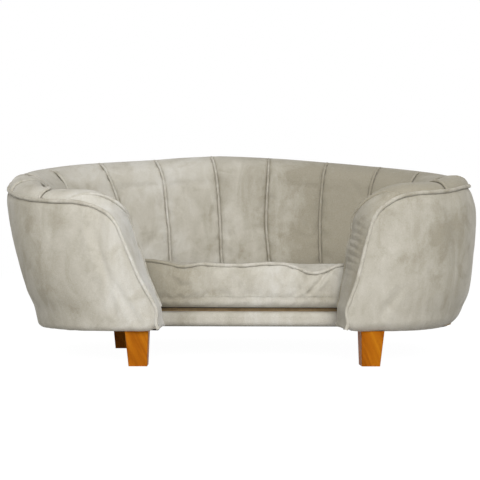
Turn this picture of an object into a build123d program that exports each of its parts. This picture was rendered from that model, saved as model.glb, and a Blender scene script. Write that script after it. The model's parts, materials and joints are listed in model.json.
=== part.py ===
from build123d import *
from math import copysign, cos, pi, radians, sin
import os

os.makedirs("parts", exist_ok=True)

# The sofa stands on the floor at Z zero, with its open side towards -Y. Sizes are taken from the plan's
# middle, and each piece is set on the middle of the sofa's box when it is written.

# Overall size over the rim and above the floor
width = 764
depth = 474
back_height = 358
arm_height = 257

# Plan outline: a rounded oblong, drawn in a little at the foot
plan_power = 3
foot_side_inset = 36
foot_end_inset = 11
half_width = width / 2
half_depth = depth / 2
foot_half_width = half_width - foot_side_inset
foot_half_depth = half_depth - foot_end_inset

# Compass angles from the middle of the back, in degrees
seam_angles = (12.5, 34.4, 52, 69.5, 86, 103.5, 119.5)
arm_end_angle = 140.9
arm_splay_angle = 9.7
splay_start_angle = 95
corner_start_angle = 126
rim_fall_angle = 130
rim_fall_power = 1.36
splay_power = 2
corner_power = 3
corner_drop = 36

# Wall thickness and the roll over its crest
wall_foot_thickness = 78
wall_rim_thickness = 54
crest_inner_drop = 38
crest_outer_drop = 13
crest_share = 0.42
rim_ledge = 5.5
rim_draw_in = 1.1

# Layers of the wall, from the outside inwards
layer_gap = 0.3
cover_thickness = 1.5
wadding_thickness = 5.5
wall_board_thickness = 3
post_depth = 14
post_width = 14
post_clearance = 0.3
top_rail_height = 14
wood_drop = 46
panel_thickness = 11
seam_depth = 4
seam_half_gap = 2.1
foam_gap = 0.7
end_pad_depth = 9
end_pad_round = 3
cover_bottom_radius = 18
cover_flange = 23
slip = 0.1

# Piping
channel_welt_width = 3.4
channel_welt_height = 8.3
channel_welt_foot = 6.8
rim_welt_radius = 2.6

# Legs: square, tapered, screwed to the base board
leg_height = 51.5
leg_top_size = 34
leg_bottom_size = 27
leg_foot_shift = 1.8
leg_edge_radius = 1.5
front_leg_side_inset = 175
front_leg_inset = 50
rear_leg_side_inset = 128
rear_leg_inset = 179
bolt_radius = 4
bolt_depth = 26
nut_barrel_radius = 5
nut_flange_radius = 9
nut_flange_thickness = 1.5

# Base: boards, rails and cloth, from below
dust_cover_thickness = 0.8
dust_cover_inset = 24
base_board_thickness = 9
rail_height = 10.5
rail_width = 22
deck_thickness = 6
deck_cloth_thickness = 1
board_inset = 19
front_recess = 105
notch_clearance = 15
deck_setback = 17
deck_inset = 4
deck_front_radius = 100
rear_rail_setback = 10
batten_end_inset = 57
batten_width = 30
rail_end_inset = 93
side_rail_end_inset = 29.5
side_rail_inset = 40

# Front rail padding between the arms
rail_pad_thickness = 11
rail_edge_radius = 7
rail_cloth_thickness = 1.2
rail_wrap_depth = 30

# Seat cushion
cushion_side_reach = 2
cushion_rear_gap = 6
cushion_overhang = 8
cushion_rear_radius = 138
cushion_front_radius = 128
cushion_height = 66
cushion_crown = 7
cushion_base_seam_height = 15
cushion_base_tuck = 7
cushion_waist = 5
cushion_edge_tuck = 5
crown_shoulder = 50
crown_top_inset = 108
crown_shoulder_share = 0.72
cushion_cover_thickness = 1.4
cushion_welt_radius = 2.4
seat_gap = 0.3

# Zip at the rear of the cushion
zip_length = 240
zip_slot_height = 14
zip_tape_thickness = 0.7
zip_coil_radius = 0.9
zip_coil_spacing = 3
zip_stop_length = 3
slider_length = 10
slider_height = 9
slider_plate = 1.1
slider_neck_width = 0.9
slider_neck_length = 3
slider_gap = 0.3
bail_radius = 0.7
bail_width = 6
bail_post = 1.4
bail_reach = 1.9
pull_width = 4
pull_length = 9
pull_thickness = 1.4
pull_eye_radius = 1.6
pin_clearance = 0.1

# Fasteners
staple_count = 22
staple_crown = 10
staple_wire = 0.8
staple_leg = 6
staple_inset = 44
screw_radius = 2
screw_head_radius = 3.8
screw_head_depth = 2
screw_length = 14
screw_end_inset = 20
screw_side_shares = (-1, -0.336, 0.336, 1)
side_screw_share = 1 / 3

# Levels above the floor
body_bottom = leg_height + dust_cover_thickness
board_bottom = body_bottom + cover_thickness
board_top = board_bottom + base_board_thickness
rail_top = board_top + rail_height
deck_top = rail_top + deck_thickness
cloth_top = deck_top + deck_cloth_thickness
cushion_bottom = cloth_top + seat_gap
wall_bottom = board_top + slip
panel_bottom = cloth_top + slip

# Places along X
cushion_half_width = foot_half_width - wall_foot_thickness + cushion_side_reach
side_rail_side = cushion_half_width - side_rail_inset
rail_length = 2 * (side_rail_side - rail_end_inset)
batten_side = rail_length / 2 - batten_end_inset
screw_sides = [share * (rail_length / 2 - screw_end_inset) for share in screw_side_shares]
front_leg_side = foot_half_width - front_leg_side_inset
rear_leg_side = foot_half_width - rear_leg_side_inset

# Places along Y
cushion_rear = foot_half_depth - wall_foot_thickness - cushion_rear_gap
front_leg_y = front_leg_inset - half_depth
rear_leg_y = half_depth - rear_leg_inset
rail_front = front_recess - half_depth
deck_front = rail_front + deck_setback
cushion_front = rail_front - cushion_overhang

# Depths from the outer face of the wall
wadding_start = cover_thickness + layer_gap
board_start = wadding_start + wadding_thickness + layer_gap
post_start = board_start + wall_board_thickness + layer_gap
foam_start = post_start + post_depth + layer_gap


def outline_point(angle, half_x, half_y):
    """Point of the rounded oblong at a compass angle from the back."""
    side = sin(radians(angle))
    back = cos(radians(angle))
    total = (abs(side) / half_x) ** plan_power + (abs(back) / half_y) ** plan_power
    reach = total ** (-1 / plan_power)
    return Vector(reach * side, reach * back)


def inward_direction(angle):
    """Level unit vector that points into the sofa, square to the rim outline."""
    point = outline_point(angle, half_width, half_depth)
    slope_x = abs(point.X / half_width) ** (plan_power - 1) / half_width
    slope_y = abs(point.Y / half_depth) ** (plan_power - 1) / half_depth
    return Vector(-copysign(slope_x, point.X), -copysign(slope_y, point.Y)).normalized()


def rim_height(angle):
    """Height of the crest, which falls from the back to the arms and turns down at their ends."""
    fall = min(1, abs(angle) / rim_fall_angle) ** rim_fall_power
    rise_share = (1 + cos(pi * fall)) / 2
    turn = max(0, (abs(angle) - corner_start_angle) / (arm_end_angle - corner_start_angle))
    return arm_height + (back_height - arm_height) * rise_share - corner_drop * turn**corner_power


def foot_angle(angle):
    """Angle at the foot of the wall, where the arm ends reach further round than at the rim."""
    splay = max(0, (abs(angle) - splay_start_angle) / (arm_end_angle - splay_start_angle))
    return copysign(abs(angle) + arm_splay_angle * splay**splay_power, angle)


# The arm ends stop short of the oblong's front, so the middle of the sofa's box lies behind the plan's
arm_foot = outline_point(foot_angle(arm_end_angle), foot_half_width, foot_half_depth)
arm_rim = outline_point(arm_end_angle, half_width, half_depth)
box_middle = (half_depth - rim_draw_in + arm_rim.Y) / 2


def finish(part, label):
    """Set a finished piece on the middle of the sofa's box, name it and write it."""
    placed = part.moved(Location((0, -box_middle, 0)))
    placed.label = label
    export_step(placed, f"parts/{label}.step")


class WallSection:
    """Upright slice through the wall: local X points inwards and local Y up the outer face."""

    def __init__(self, angle):
        foot = outline_point(foot_angle(angle), foot_half_width, foot_half_depth)
        foot = foot + Vector(0, 0, body_bottom)
        rim = outline_point(angle, half_width, half_depth) + Vector(0, 0, rim_height(angle))
        inside = inward_direction(angle)
        rise = rim - foot
        self.lean = rise.dot(inside)
        upward = rise - inside * self.lean
        self.length = upward.length
        self.plane = Plane(origin=foot, x_dir=inside, z_dir=inside.cross(upward).normalized())

    def level(self, z):
        """Local height of a level above the floor."""
        return (z - self.plane.origin.Z) / self.plane.y_dir.Z

    def outer(self, height, deep=0):
        """Point at a depth behind the outer face."""
        return (self.lean * height / self.length + deep, height)

    def inner(self, height, deep=0):
        """Point at a depth behind the inner face."""
        share = height / self.length
        thickness = wall_foot_thickness + (wall_rim_thickness - wall_foot_thickness) * share
        return (self.lean * share + thickness - deep, height)

    def crest(self, deep=0):
        """Inner shoulder, top and outer edge of the crest, at a depth below its surface."""
        shoulder = self.inner(self.length - crest_inner_drop, deep)
        top = (self.lean + wall_rim_thickness * crest_share, self.length - deep)
        edge = self.outer(self.length - crest_outer_drop - deep, rim_ledge)
        return shoulder, top, edge


def layer_outline(section, near, far, bottom, drop):
    """Four-sided slice of a straight layer between two depths behind the outer face."""
    low = section.level(bottom)
    high = section.length - drop
    corners = [(low, near), (high, near), (high, far), (low, far)]
    Polyline([section.outer(height, deep) for height, deep in corners], close=True)


def cover_outline(section):
    """Slice of the outer cover, which turns in under the base board."""
    high = section.length - crest_outer_drop - panel_thickness - layer_gap
    bend = cover_bottom_radius
    skin = cover_thickness
    turn = cos(radians(45))
    low_side = section.outer(bend)
    low_side_in = section.outer(bend, skin)
    mid = (bend - bend * turn, bend - bend * turn)
    mid_in = (bend - (bend - skin) * turn, bend - (bend - skin) * turn)
    Polyline(low_side, section.outer(high), section.outer(high, skin), low_side_in)
    ThreePointArc(low_side_in, mid_in, (bend, skin))
    Polyline((bend, skin), (cover_flange, skin), (cover_flange, 0), (bend, 0))
    ThreePointArc((bend, 0), mid, low_side)


def foam_outline(section):
    """Slice of the wall foam: an upright pad that hooks over the wood at the crest."""
    deep = panel_thickness + foam_gap
    shoulder, top, edge = section.crest(deep)
    low = section.level(wall_bottom)
    ledge = section.length - wood_drop + layer_gap
    ThreePointArc(shoulder, top, edge)
    Polyline(
        edge,
        section.outer(edge[1] - cover_thickness, wadding_start),
        section.outer(ledge, wadding_start),
        section.outer(ledge, foam_start),
        section.outer(low, foam_start),
        section.inner(low, deep),
        shoulder,
    )


def panel_outline(section, front, rear, bottom):
    """Slice of a padded skin that climbs the inner face and rolls over the crest."""
    low = section.level(bottom)
    shoulder, top, edge = section.crest(front)
    rear_shoulder, rear_top, rear_edge = section.crest(rear)
    ThreePointArc(shoulder, top, edge)
    Line(edge, rear_edge)
    ThreePointArc(rear_edge, rear_top, rear_shoulder)
    Polyline(rear_shoulder, section.inner(low, rear), section.inner(low, front), shoulder)


def end_outline(section, inset):
    """Outline of the arm end, drawn in by an inset, with its lower outer corner cut off."""
    low = section.level(body_bottom) + inset
    shoulder, top, edge = section.crest(inset)
    outer_edge = section.outer(edge[1], inset)
    ThreePointArc(shoulder, top, outer_edge)
    Polyline(
        outer_edge,
        section.outer(cover_bottom_radius, inset),
        (cover_bottom_radius, low),
        section.inner(low, inset),
        shoulder,
    )


def lofted_wall(angles, outline, *sizes):
    """Solid that passes through the same kind of slice at each angle."""
    with BuildPart() as layer:
        for angle in angles:
            section = WallSection(angle)
            with BuildSketch(section.plane):
                with BuildLine():
                    outline(section, *sizes)
                make_face()
        loft()
    return layer.part


# Seams all the way round, from the left arm end to the right one
right_seams = [*seam_angles, arm_end_angle]
all_seams = [-angle for angle in reversed(right_seams)] + right_seams
wall_step_shares = (0.5,)
channel_step_shares = (0.22, 0.5, 0.78)
end_step_shares = (0.25, 0.5, 0.75, 0.92)
arm_steps = [seam_angles[-1] + (arm_end_angle - seam_angles[-1]) * share for share in end_step_shares]


def steps_between(first, last, shares):
    """Angles of the slices that shape the wall between two seams."""
    if abs(first) == arm_end_angle:
        inner = [-angle for angle in reversed(arm_steps)]
    elif abs(last) == arm_end_angle:
        inner = arm_steps
    else:
        inner = [first + (last - first) * share for share in shares]
    return [first, *inner, last]


wall_angles = [all_seams[0]]
for first_seam, last_seam in zip(all_seams, all_seams[1:]):
    wall_angles += steps_between(first_seam, last_seam, wall_step_shares)[1:]

# Wall shells
wall_board = lofted_wall(
    wall_angles, layer_outline, board_start, board_start + wall_board_thickness, wall_bottom, wood_drop
)
finish(wall_board, "wall_board")

top_rail = lofted_wall(
    wall_angles,
    lambda section: Polyline(
        section.outer(section.length - wood_drop - top_rail_height, post_start),
        section.outer(section.length - wood_drop, post_start),
        section.outer(section.length - wood_drop, post_start + post_depth),
        section.outer(section.length - wood_drop - top_rail_height, post_start + post_depth),
        close=True,
    ),
)
finish(top_rail, "top_rail")

outer_wadding = lofted_wall(
    wall_angles,
    layer_outline,
    wadding_start,
    wadding_start + wadding_thickness,
    body_bottom + cover_bottom_radius,
    wood_drop,
)
finish(outer_wadding, "outer_wadding")

outer_cover = lofted_wall(wall_angles, cover_outline)
finish(outer_cover, "outer_cover")

wall_foam = lofted_wall(wall_angles, foam_outline)
finish(wall_foam, "wall_foam")


def angle_over(angle, distance):
    """Turn in degrees that covers a distance along the foot of the wall's inner face."""
    half_degree = 1 / 2
    ends = []
    for turn in (-half_degree, half_degree):
        section = WallSection(angle + turn)
        ends.append(section.plane.from_local_coords(section.inner(0)))
    return distance / (ends[1] - ends[0]).length


def beyond_end(angle, distance):
    """Wall section at an arm end, moved on past the end by a distance."""
    section = WallSection(angle)
    section.plane = section.plane.offset(-copysign(distance, angle))
    return section


def lofted_sections(sections_and_sizes, outline):
    """Solid that passes through ready sections, each with sizes of its own."""
    with BuildPart() as layer:
        for section, sizes in sections_and_sizes:
            with BuildSketch(section.plane):
                with BuildLine():
                    outline(section, *sizes)
                make_face()
        loft()
    return layer.part


# Channel panels: padded skins, full in the middle and drawn in at both seams
for number, (first_seam, last_seam) in enumerate(zip(all_seams, all_seams[1:]), start=1):
    steps = steps_between(first_seam, last_seam, channel_step_shares)
    if number > 1:
        steps[0] += angle_over(first_seam, seam_half_gap)
    if number < len(all_seams) - 1:
        steps[-1] -= angle_over(last_seam, seam_half_gap)
    slices = []
    for step in steps:
        across = 2 * (step - steps[0]) / (steps[-1] - steps[0]) - 1
        slices.append((WallSection(step), (seam_depth * across**2, panel_thickness, panel_bottom)))
    finish(lofted_sections(slices, panel_outline), f"channel_{number:02d}")

# Piping in the seams of the channels and along the inner edges of the arm ends
welt_sides = (-1, 0, 1)
welt_front = seam_depth + channel_welt_foot - channel_welt_height
welt_round = channel_welt_width / 2
end_pad_rim = 2 * rim_welt_radius + 2 * slip
with BuildPart() as channel_welts:
    for seam in all_seams:
        slices = []
        for side in welt_sides:
            front = welt_front + welt_round * side**2
            foot = panel_thickness
            if abs(seam) == arm_end_angle:
                section = beyond_end(seam, slip + welt_round * (1 + side))
                front = welt_round * side**2
                foot = end_pad_rim - slip
            else:
                section = WallSection(seam)
                section.plane = section.plane.offset(side * welt_round)
            slices.append((section, (front, foot, panel_bottom)))
        add(lofted_sections(slices, panel_outline))
finish(channel_welts.part, "channel_welts")

# Pads that close the slanted arm ends
end_pad_steps = ((slip, end_pad_rim), (end_pad_depth - end_pad_round, end_pad_rim + end_pad_round / 2))
end_pad_steps += ((end_pad_depth, end_pad_rim + 2 * end_pad_round),)
for arm_side, end_angle in (("left", -arm_end_angle), ("right", arm_end_angle)):
    slices = [(beyond_end(end_angle, away), (inset,)) for away, inset in end_pad_steps]
    finish(lofted_sections(slices, end_outline), f"end_band_{arm_side}")

# Thicker piping along the outer edge of the rim and down the outer edge of each arm end
rim_welt_deep = rim_ledge - rim_welt_radius - layer_gap
rim_welt_drop = crest_outer_drop + panel_thickness / 2
with BuildPart() as rim_welt_line:
    for angle in wall_angles:
        section = WallSection(angle)
        with BuildSketch(section.plane):
            with Locations(section.outer(section.length - rim_welt_drop, rim_welt_deep)):
                Circle(rim_welt_radius)
    loft()

with BuildPart() as rim_welt:
    add(rim_welt_line.part)
    for end_angle in (-arm_end_angle, arm_end_angle):
        section = beyond_end(end_angle, rim_welt_radius + slip)
        start = section.plane.from_local_coords(section.outer(cover_bottom_radius, rim_welt_radius))
        stop = section.plane.from_local_coords(section.outer(section.length - rim_welt_drop, rim_welt_radius))
        with BuildSketch(Plane(origin=start, z_dir=(stop - start).normalized())):
            Circle(rim_welt_radius)
        extrude(amount=(stop - start).length)
finish(rim_welt.part, "rim_welt")

# Upright posts between the base board and the top rail
post_angles = [(first + last) / 2 for first, last in zip(all_seams, all_seams[1:])]
rail_drop = wood_drop + top_rail_height + layer_gap
post_front = post_start + post_clearance
post_rear = post_start + post_depth - post_clearance
with BuildPart() as wall_posts:
    for angle in post_angles:
        half_turn = angle_over(angle, post_width / 2)
        turns = (angle - half_turn, angle, angle + half_turn)
        add(lofted_wall(turns, layer_outline, post_front, post_rear, wall_bottom, rail_drop))
    split(bisect_by=Plane.XY.offset(wall_bottom), keep=Keep.TOP)
finish(wall_posts.part, "wall_posts")


def oblong_outline(half_x, half_y, step=15):
    """Arcs round the oblong, through points of its formula."""
    for start in range(0, 360, step):
        points = [outline_point(start + step * turn, half_x, half_y) for turn in (0, 1 / 2, 1)]
        ThreePointArc(*points)


leg_places = [
    ("front_left", -front_leg_side, front_leg_y),
    ("front_right", front_leg_side, front_leg_y),
    ("rear_left", -rear_leg_side, rear_leg_y),
    ("rear_right", rear_leg_side, rear_leg_y),
]
bolt_spots = [(x, y) for label, x, y in leg_places]

# Staples round the underside, and the holes that their legs stand in
staple_reach = arm_end_angle - arm_splay_angle
staple_angles = [staple_reach * (2 * index / (staple_count - 1) - 1) for index in range(staple_count)]
staple_planes = []
for angle in staple_angles:
    place = outline_point(angle, foot_half_width - staple_inset, foot_half_depth - staple_inset)
    staple_planes.append(Plane(origin=place, x_dir=(0, 0, 1), z_dir=inward_direction(angle)))
staple_low = leg_height - staple_wire - slip
with BuildPart() as staples:
    for plane in staple_planes:
        with BuildSketch(plane):
            with Locations((staple_low + staple_wire / 2, 0)):
                Rectangle(staple_wire, staple_crown)
            for side in (-1, 1):
                with Locations((staple_low, side * (staple_crown - staple_wire) / 2)):
                    Rectangle(staple_leg, staple_wire, align=(Align.MIN, Align.CENTER))
        extrude(amount=staple_wire / 2, both=True)
finish(staples.part, "staples")

hole_width = staple_wire + 2 * slip
with BuildPart() as staple_holes:
    for plane in staple_planes:
        with BuildSketch(plane):
            for side in (-1, 1):
                with Locations((staple_low, side * (staple_crown - staple_wire) / 2)):
                    Rectangle(staple_leg + slip, hole_width, align=(Align.MIN, Align.CENTER))
        extrude(amount=hole_width / 2, both=True)

# Base board with the notch between the arms and the seats of the leg nuts
notch_side = arm_foot.X + notch_clearance
notch_depth = foot_half_depth + rail_front + rail_pad_thickness
with BuildPart() as base_board:
    with BuildSketch(Plane.XY.offset(board_bottom)):
        with BuildLine():
            oblong_outline(foot_half_width - board_inset, foot_half_depth - board_inset)
        make_face()
        with Locations((0, -foot_half_depth)):
            Rectangle(2 * notch_side, notch_depth, align=(Align.CENTER, Align.MIN), mode=Mode.SUBTRACT)
    extrude(amount=base_board_thickness)
    with Locations([(x, y, board_top) for x, y in bolt_spots]):
        CounterBoreHole(nut_barrel_radius + slip, nut_flange_radius + slip, nut_flange_thickness + slip)
    add(staple_holes.part, mode=Mode.SUBTRACT)
finish(base_board.part, "base_board")

# Thin cloth under the base board
with BuildPart() as dust_cover:
    with BuildSketch(Plane.XY.offset(leg_height)):
        with BuildLine():
            oblong_outline(foot_half_width - dust_cover_inset, foot_half_depth - dust_cover_inset)
        make_face()
        with Locations((0, -foot_half_depth)):
            Rectangle(2 * notch_side, notch_depth, align=(Align.CENTER, Align.MIN), mode=Mode.SUBTRACT)
        with Locations(bolt_spots):
            Circle(bolt_radius + slip, mode=Mode.SUBTRACT)
    extrude(amount=dust_cover_thickness)
    add(staple_holes.part, mode=Mode.SUBTRACT)
finish(dust_cover.part, "dust_cover")

# Legs, each drawn in towards the middle of the sofa at its foot
for label, x, y in leg_places:
    foot_x = x - copysign(leg_foot_shift, x)
    foot_y = y - copysign(leg_foot_shift, y - rear_leg_y / 2)
    with BuildPart() as leg:
        with BuildSketch(Plane.XY):
            with Locations((foot_x, foot_y)):
                RectangleRounded(leg_bottom_size, leg_bottom_size, leg_edge_radius)
        with BuildSketch(Plane.XY.offset(leg_height)):
            with Locations((x, y)):
                RectangleRounded(leg_top_size, leg_top_size, leg_edge_radius)
        loft()
        with Locations((x, y, leg_height)):
            Hole(bolt_radius + slip, bolt_depth + slip)
    finish(leg.part, f"leg_{label}")

# Hanger bolts in the legs and tee nuts in the base board
with BuildPart() as hanger_bolts:
    with BuildSketch(Plane.XY.offset(leg_height - bolt_depth)):
        with Locations(bolt_spots):
            Circle(bolt_radius)
    extrude(amount=bolt_depth + board_top - leg_height - slip)
finish(hanger_bolts.part, "hanger_bolts")

with BuildPart() as tee_nuts:
    with BuildSketch(Plane.XY.offset(board_bottom)):
        with Locations(bolt_spots):
            Circle(nut_barrel_radius)
    extrude(amount=base_board_thickness)
    with BuildSketch(Plane.XY.offset(board_top - nut_flange_thickness)):
        with Locations(bolt_spots):
            Circle(nut_flange_radius)
    extrude(amount=nut_flange_thickness)
    with BuildSketch(Plane.XY.offset(board_bottom)):
        with Locations(bolt_spots):
            Circle(bolt_radius + slip)
    extrude(amount=base_board_thickness, mode=Mode.SUBTRACT)
finish(tee_nuts.part, "tee_nuts")

# Timber rails and battens that carry the seat deck
timber_front = rail_front + rail_pad_thickness
timber_rear = cushion_rear - rear_rail_setback
batten_middle = (timber_front + timber_rear) / 2
batten_length = timber_rear - timber_front - 2 * rail_width
side_rail_length = batten_length - 2 * side_rail_end_inset
rear_screws_y = timber_rear - rail_width / 2
front_screws_y = timber_front + rail_width / 2
timbers = [
    ("front_timber", 0, front_screws_y, rail_length, rail_width),
    ("rear_timber", 0, rear_screws_y, rail_length, rail_width),
    ("left_timber", -side_rail_side, batten_middle, rail_width, side_rail_length),
    ("right_timber", side_rail_side, batten_middle, rail_width, side_rail_length),
]
screw_spots = [(x, y) for x in screw_sides for y in (front_screws_y, rear_screws_y)]
screw_spots += [
    (side * side_rail_side, batten_middle + end * side_screw_share * side_rail_length)
    for side in (-1, 1)
    for end in (-1, 1)
]
screw_bottom = deck_top - screw_length
with BuildPart() as screw_holes:
    with BuildSketch(Plane.XY.offset(screw_bottom - slip)):
        with Locations(screw_spots):
            Circle(screw_radius + slip)
    extrude(amount=screw_length + 2 * slip)
    with BuildSketch(Plane.XY.offset(deck_top - screw_head_depth - slip)):
        with Locations(screw_spots):
            Circle(screw_head_radius + slip)
    extrude(amount=screw_head_depth + 2 * slip)

for label, x, y, size_x, size_y in timbers:
    with BuildPart() as timber:
        with BuildSketch(Plane.XY.offset(board_top)):
            with Locations((x, y)):
                Rectangle(size_x, size_y)
        extrude(amount=rail_height)
        add(screw_holes.part, mode=Mode.SUBTRACT)
    finish(timber.part, label)

with BuildPart() as cross_battens:
    with BuildSketch(Plane.XY.offset(board_top)):
        with Locations((-batten_side, batten_middle), (batten_side, batten_middle)):
            Rectangle(batten_width, batten_length)
    extrude(amount=rail_height)
finish(cross_battens.part, "cross_battens")

with BuildPart() as frame_screws:
    with BuildSketch(Plane.XY.offset(screw_bottom)):
        with Locations(screw_spots):
            Circle(screw_radius)
    extrude(amount=screw_length)
    with BuildSketch(Plane.XY.offset(deck_top - screw_head_depth)):
        with Locations(screw_spots):
            Circle(screw_head_radius)
    extrude(amount=screw_head_depth)
finish(frame_screws.part, "frame_screws")


def draw_seat(sketch, front, inset, front_radius=cushion_front_radius):
    """Seat outline, drawn in all round: a block with full corners that follow the wall."""
    rear = cushion_rear - inset
    with Locations((0, front + inset)):
        size_y = rear - front - inset
        Rectangle(2 * (cushion_half_width - inset), size_y, align=(Align.CENTER, Align.MIN))
    fillet(sketch.vertices().group_by(Axis.Y)[-1], cushion_rear_radius - inset)
    fillet(sketch.vertices().group_by(Axis.Y)[0], front_radius - inset)


# Seat deck and the cloth over it
with BuildPart() as seat_deck:
    with BuildSketch(Plane.XY.offset(rail_top)) as deck_sketch:
        draw_seat(deck_sketch, deck_front - deck_inset, deck_inset, deck_front_radius)
    extrude(amount=deck_thickness)
    add(screw_holes.part, mode=Mode.SUBTRACT)
finish(seat_deck.part, "seat_deck")

with BuildPart() as deck_cloth:
    with BuildSketch(Plane.XY.offset(deck_top)) as cloth_sketch:
        draw_seat(cloth_sketch, deck_front - deck_inset, deck_inset, deck_front_radius)
    extrude(amount=deck_cloth_thickness)
finish(deck_cloth.part, "deck_cloth")

# Front rail: a foam strip in front of the timber, wrapped in cover cloth
rail_cover_side = notch_side - slip
rail_cloth_top = rail_top + rail_cloth_thickness
with BuildPart() as front_rail_cover:
    with BuildSketch(Plane.YZ.offset(-rail_cover_side)) as wrap:
        with Locations((rail_front, body_bottom)):
            Rectangle(rail_wrap_depth, rail_cloth_top - body_bottom, align=(Align.MIN, Align.MIN))
        fillet(wrap.vertices().group_by(Axis.X)[0], rail_edge_radius)
        with Locations((deck_front - slip, rail_top)):
            Rectangle(rail_wrap_depth, rail_wrap_depth, align=(Align.MIN, Align.CENTER), mode=Mode.SUBTRACT)
    extrude(amount=2 * rail_cover_side)
    with BuildSketch(Plane.YZ.offset(-rail_cover_side)) as hollow:
        with Locations((rail_front + rail_cloth_thickness, body_bottom + rail_cloth_thickness)):
            hollow_height = rail_cloth_top - body_bottom - 2 * rail_cloth_thickness
            Rectangle(rail_wrap_depth, hollow_height, align=(Align.MIN, Align.MIN))
        fillet(hollow.vertices().group_by(Axis.X)[0], rail_edge_radius - rail_cloth_thickness)
    extrude(amount=2 * rail_cover_side, mode=Mode.SUBTRACT)
finish(front_rail_cover.part, "front_rail_cover")

rail_foam_front = rail_front + rail_cloth_thickness + slip
rail_foam_bottom = body_bottom + rail_cloth_thickness + slip
with BuildPart() as front_rail_foam:
    with BuildSketch(Plane.YZ.offset(-rail_cover_side)) as strip:
        with Locations((rail_foam_front, rail_foam_bottom)):
            strip_depth = timber_front - rail_foam_front - slip
            strip_height = rail_top - rail_foam_bottom - slip
            Rectangle(strip_depth, strip_height, align=(Align.MIN, Align.MIN))
        fillet(strip.vertices().group_by(Axis.X)[0], rail_edge_radius - rail_cloth_thickness)
    extrude(amount=2 * rail_cover_side)
finish(front_rail_foam.part, "front_rail_foam")

# Seat cushion: levels of its seams
base_seam = cushion_bottom + cushion_base_seam_height
top_edge = cushion_bottom + cushion_height
waist_level = (base_seam + top_edge) / 2


def cushion_form(skin):
    """Cushion shape under a skin: drawn in at the waist and crowned on top."""
    side_slices = [
        (cushion_bottom + skin, cushion_base_tuck + skin),
        (base_seam, skin),
        (waist_level, cushion_waist + skin),
        (top_edge - skin, cushion_edge_tuck + skin),
    ]
    crown_slices = [
        (top_edge - skin, cushion_edge_tuck + skin),
        (top_edge + cushion_crown * crown_shoulder_share - skin, crown_shoulder),
        (top_edge + cushion_crown - skin, crown_top_inset),
    ]
    with BuildPart() as form:
        for slices in (side_slices, crown_slices):
            for level, inset in slices:
                with BuildSketch(Plane.XY.offset(level)) as outline:
                    draw_seat(outline, cushion_front, inset)
            loft()
    return form.part


cushion_outside = cushion_form(0)
cushion_inside = cushion_form(cushion_cover_thickness)
zip_level = waist_level
zip_middle = cushion_rear - cushion_waist - cushion_cover_thickness / 2
slider_depth = 2 * (zip_coil_radius + slider_gap + slider_plate)

with BuildPart() as cushion_core:
    add(cushion_form(cushion_cover_thickness + slip))
    with BuildSketch(Plane.XZ.offset(-zip_middle - slider_depth)) as zip_relief:
        with Locations((0, zip_level)):
            Rectangle(zip_length, zip_slot_height)
    extrude(amount=slider_depth + slider_depth / 2 + slider_gap, mode=Mode.SUBTRACT)
finish(cushion_core.part, "cushion_core")

with BuildPart() as cushion_shell:
    add(cushion_outside)
    add(cushion_inside, mode=Mode.SUBTRACT)

top_split = top_edge - cushion_welt_radius
with BuildPart() as cushion_top_cover:
    add(cushion_shell.part)
    split(bisect_by=Plane.XY.offset(top_split), keep=Keep.TOP)
finish(cushion_top_cover.part, "cushion_top_cover")

with BuildPart() as cushion_boxing:
    add(cushion_shell.part)
    split(bisect_by=Plane.XY.offset(top_split), keep=Keep.BOTTOM)
    split(bisect_by=Plane.XY.offset(base_seam), keep=Keep.TOP)
    with BuildSketch(Plane.XZ.offset(-zip_middle - slider_depth)):
        with Locations((0, zip_level)):
            Rectangle(zip_length, zip_slot_height)
    extrude(amount=2 * slider_depth, mode=Mode.SUBTRACT)
finish(cushion_boxing.part, "cushion_boxing")

with BuildPart() as cushion_base_cover:
    add(cushion_shell.part)
    split(bisect_by=Plane.XY.offset(base_seam), keep=Keep.BOTTOM)
finish(cushion_base_cover.part, "cushion_base_cover")

# Piping round the top edge of the cushion
welt_inset = cushion_edge_tuck - cushion_welt_radius - slip
with BuildSketch(Plane.XY.offset(top_split)) as welt_outline:
    draw_seat(welt_outline, cushion_front, welt_inset)
welt_path = welt_outline.sketch.face().outer_wire()
with BuildPart() as cushion_welt:
    with BuildSketch(Plane(origin=welt_path @ 0, z_dir=welt_path % 0)):
        Circle(cushion_welt_radius)
    sweep(path=welt_path)
finish(cushion_welt.part, "cushion_welt")

# Zip: two tapes, two rows of coil, stops at both ends
chain_length = zip_length - 2 * zip_stop_length - 2 * slip
coil_offset = zip_coil_spacing / 2
tape_edge = coil_offset + zip_coil_radius + slip
tape_height = zip_slot_height / 2 - slip - tape_edge
with BuildPart() as zipper_tapes:
    with BuildSketch(Plane.YZ.offset(-zip_length / 2 + slip)):
        for side in (-1, 1):
            with Locations((zip_middle, zip_level + side * (tape_edge + tape_height / 2))):
                Rectangle(zip_tape_thickness, tape_height)
    extrude(amount=zip_length - 2 * slip)
finish(zipper_tapes.part, "zipper_tapes")

with BuildPart() as zipper_coils:
    with BuildSketch(Plane.YZ.offset(-chain_length / 2)):
        for side in (-1, 1):
            with Locations((zip_middle, zip_level + side * coil_offset)):
                Circle(zip_coil_radius)
    extrude(amount=chain_length)
finish(zipper_coils.part, "zipper_coils")

with BuildPart() as zipper_stops:
    for side in (-1, 1):
        with BuildSketch(Plane.YZ.offset(side * (zip_length - zip_stop_length) / 2)):
            with Locations((zip_middle, zip_level)):
                Rectangle(2 * zip_coil_radius, 2 * tape_edge - 2 * slip)
        extrude(amount=zip_stop_length / 2 - slip, both=True)
finish(zipper_stops.part, "zipper_stops")

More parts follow.
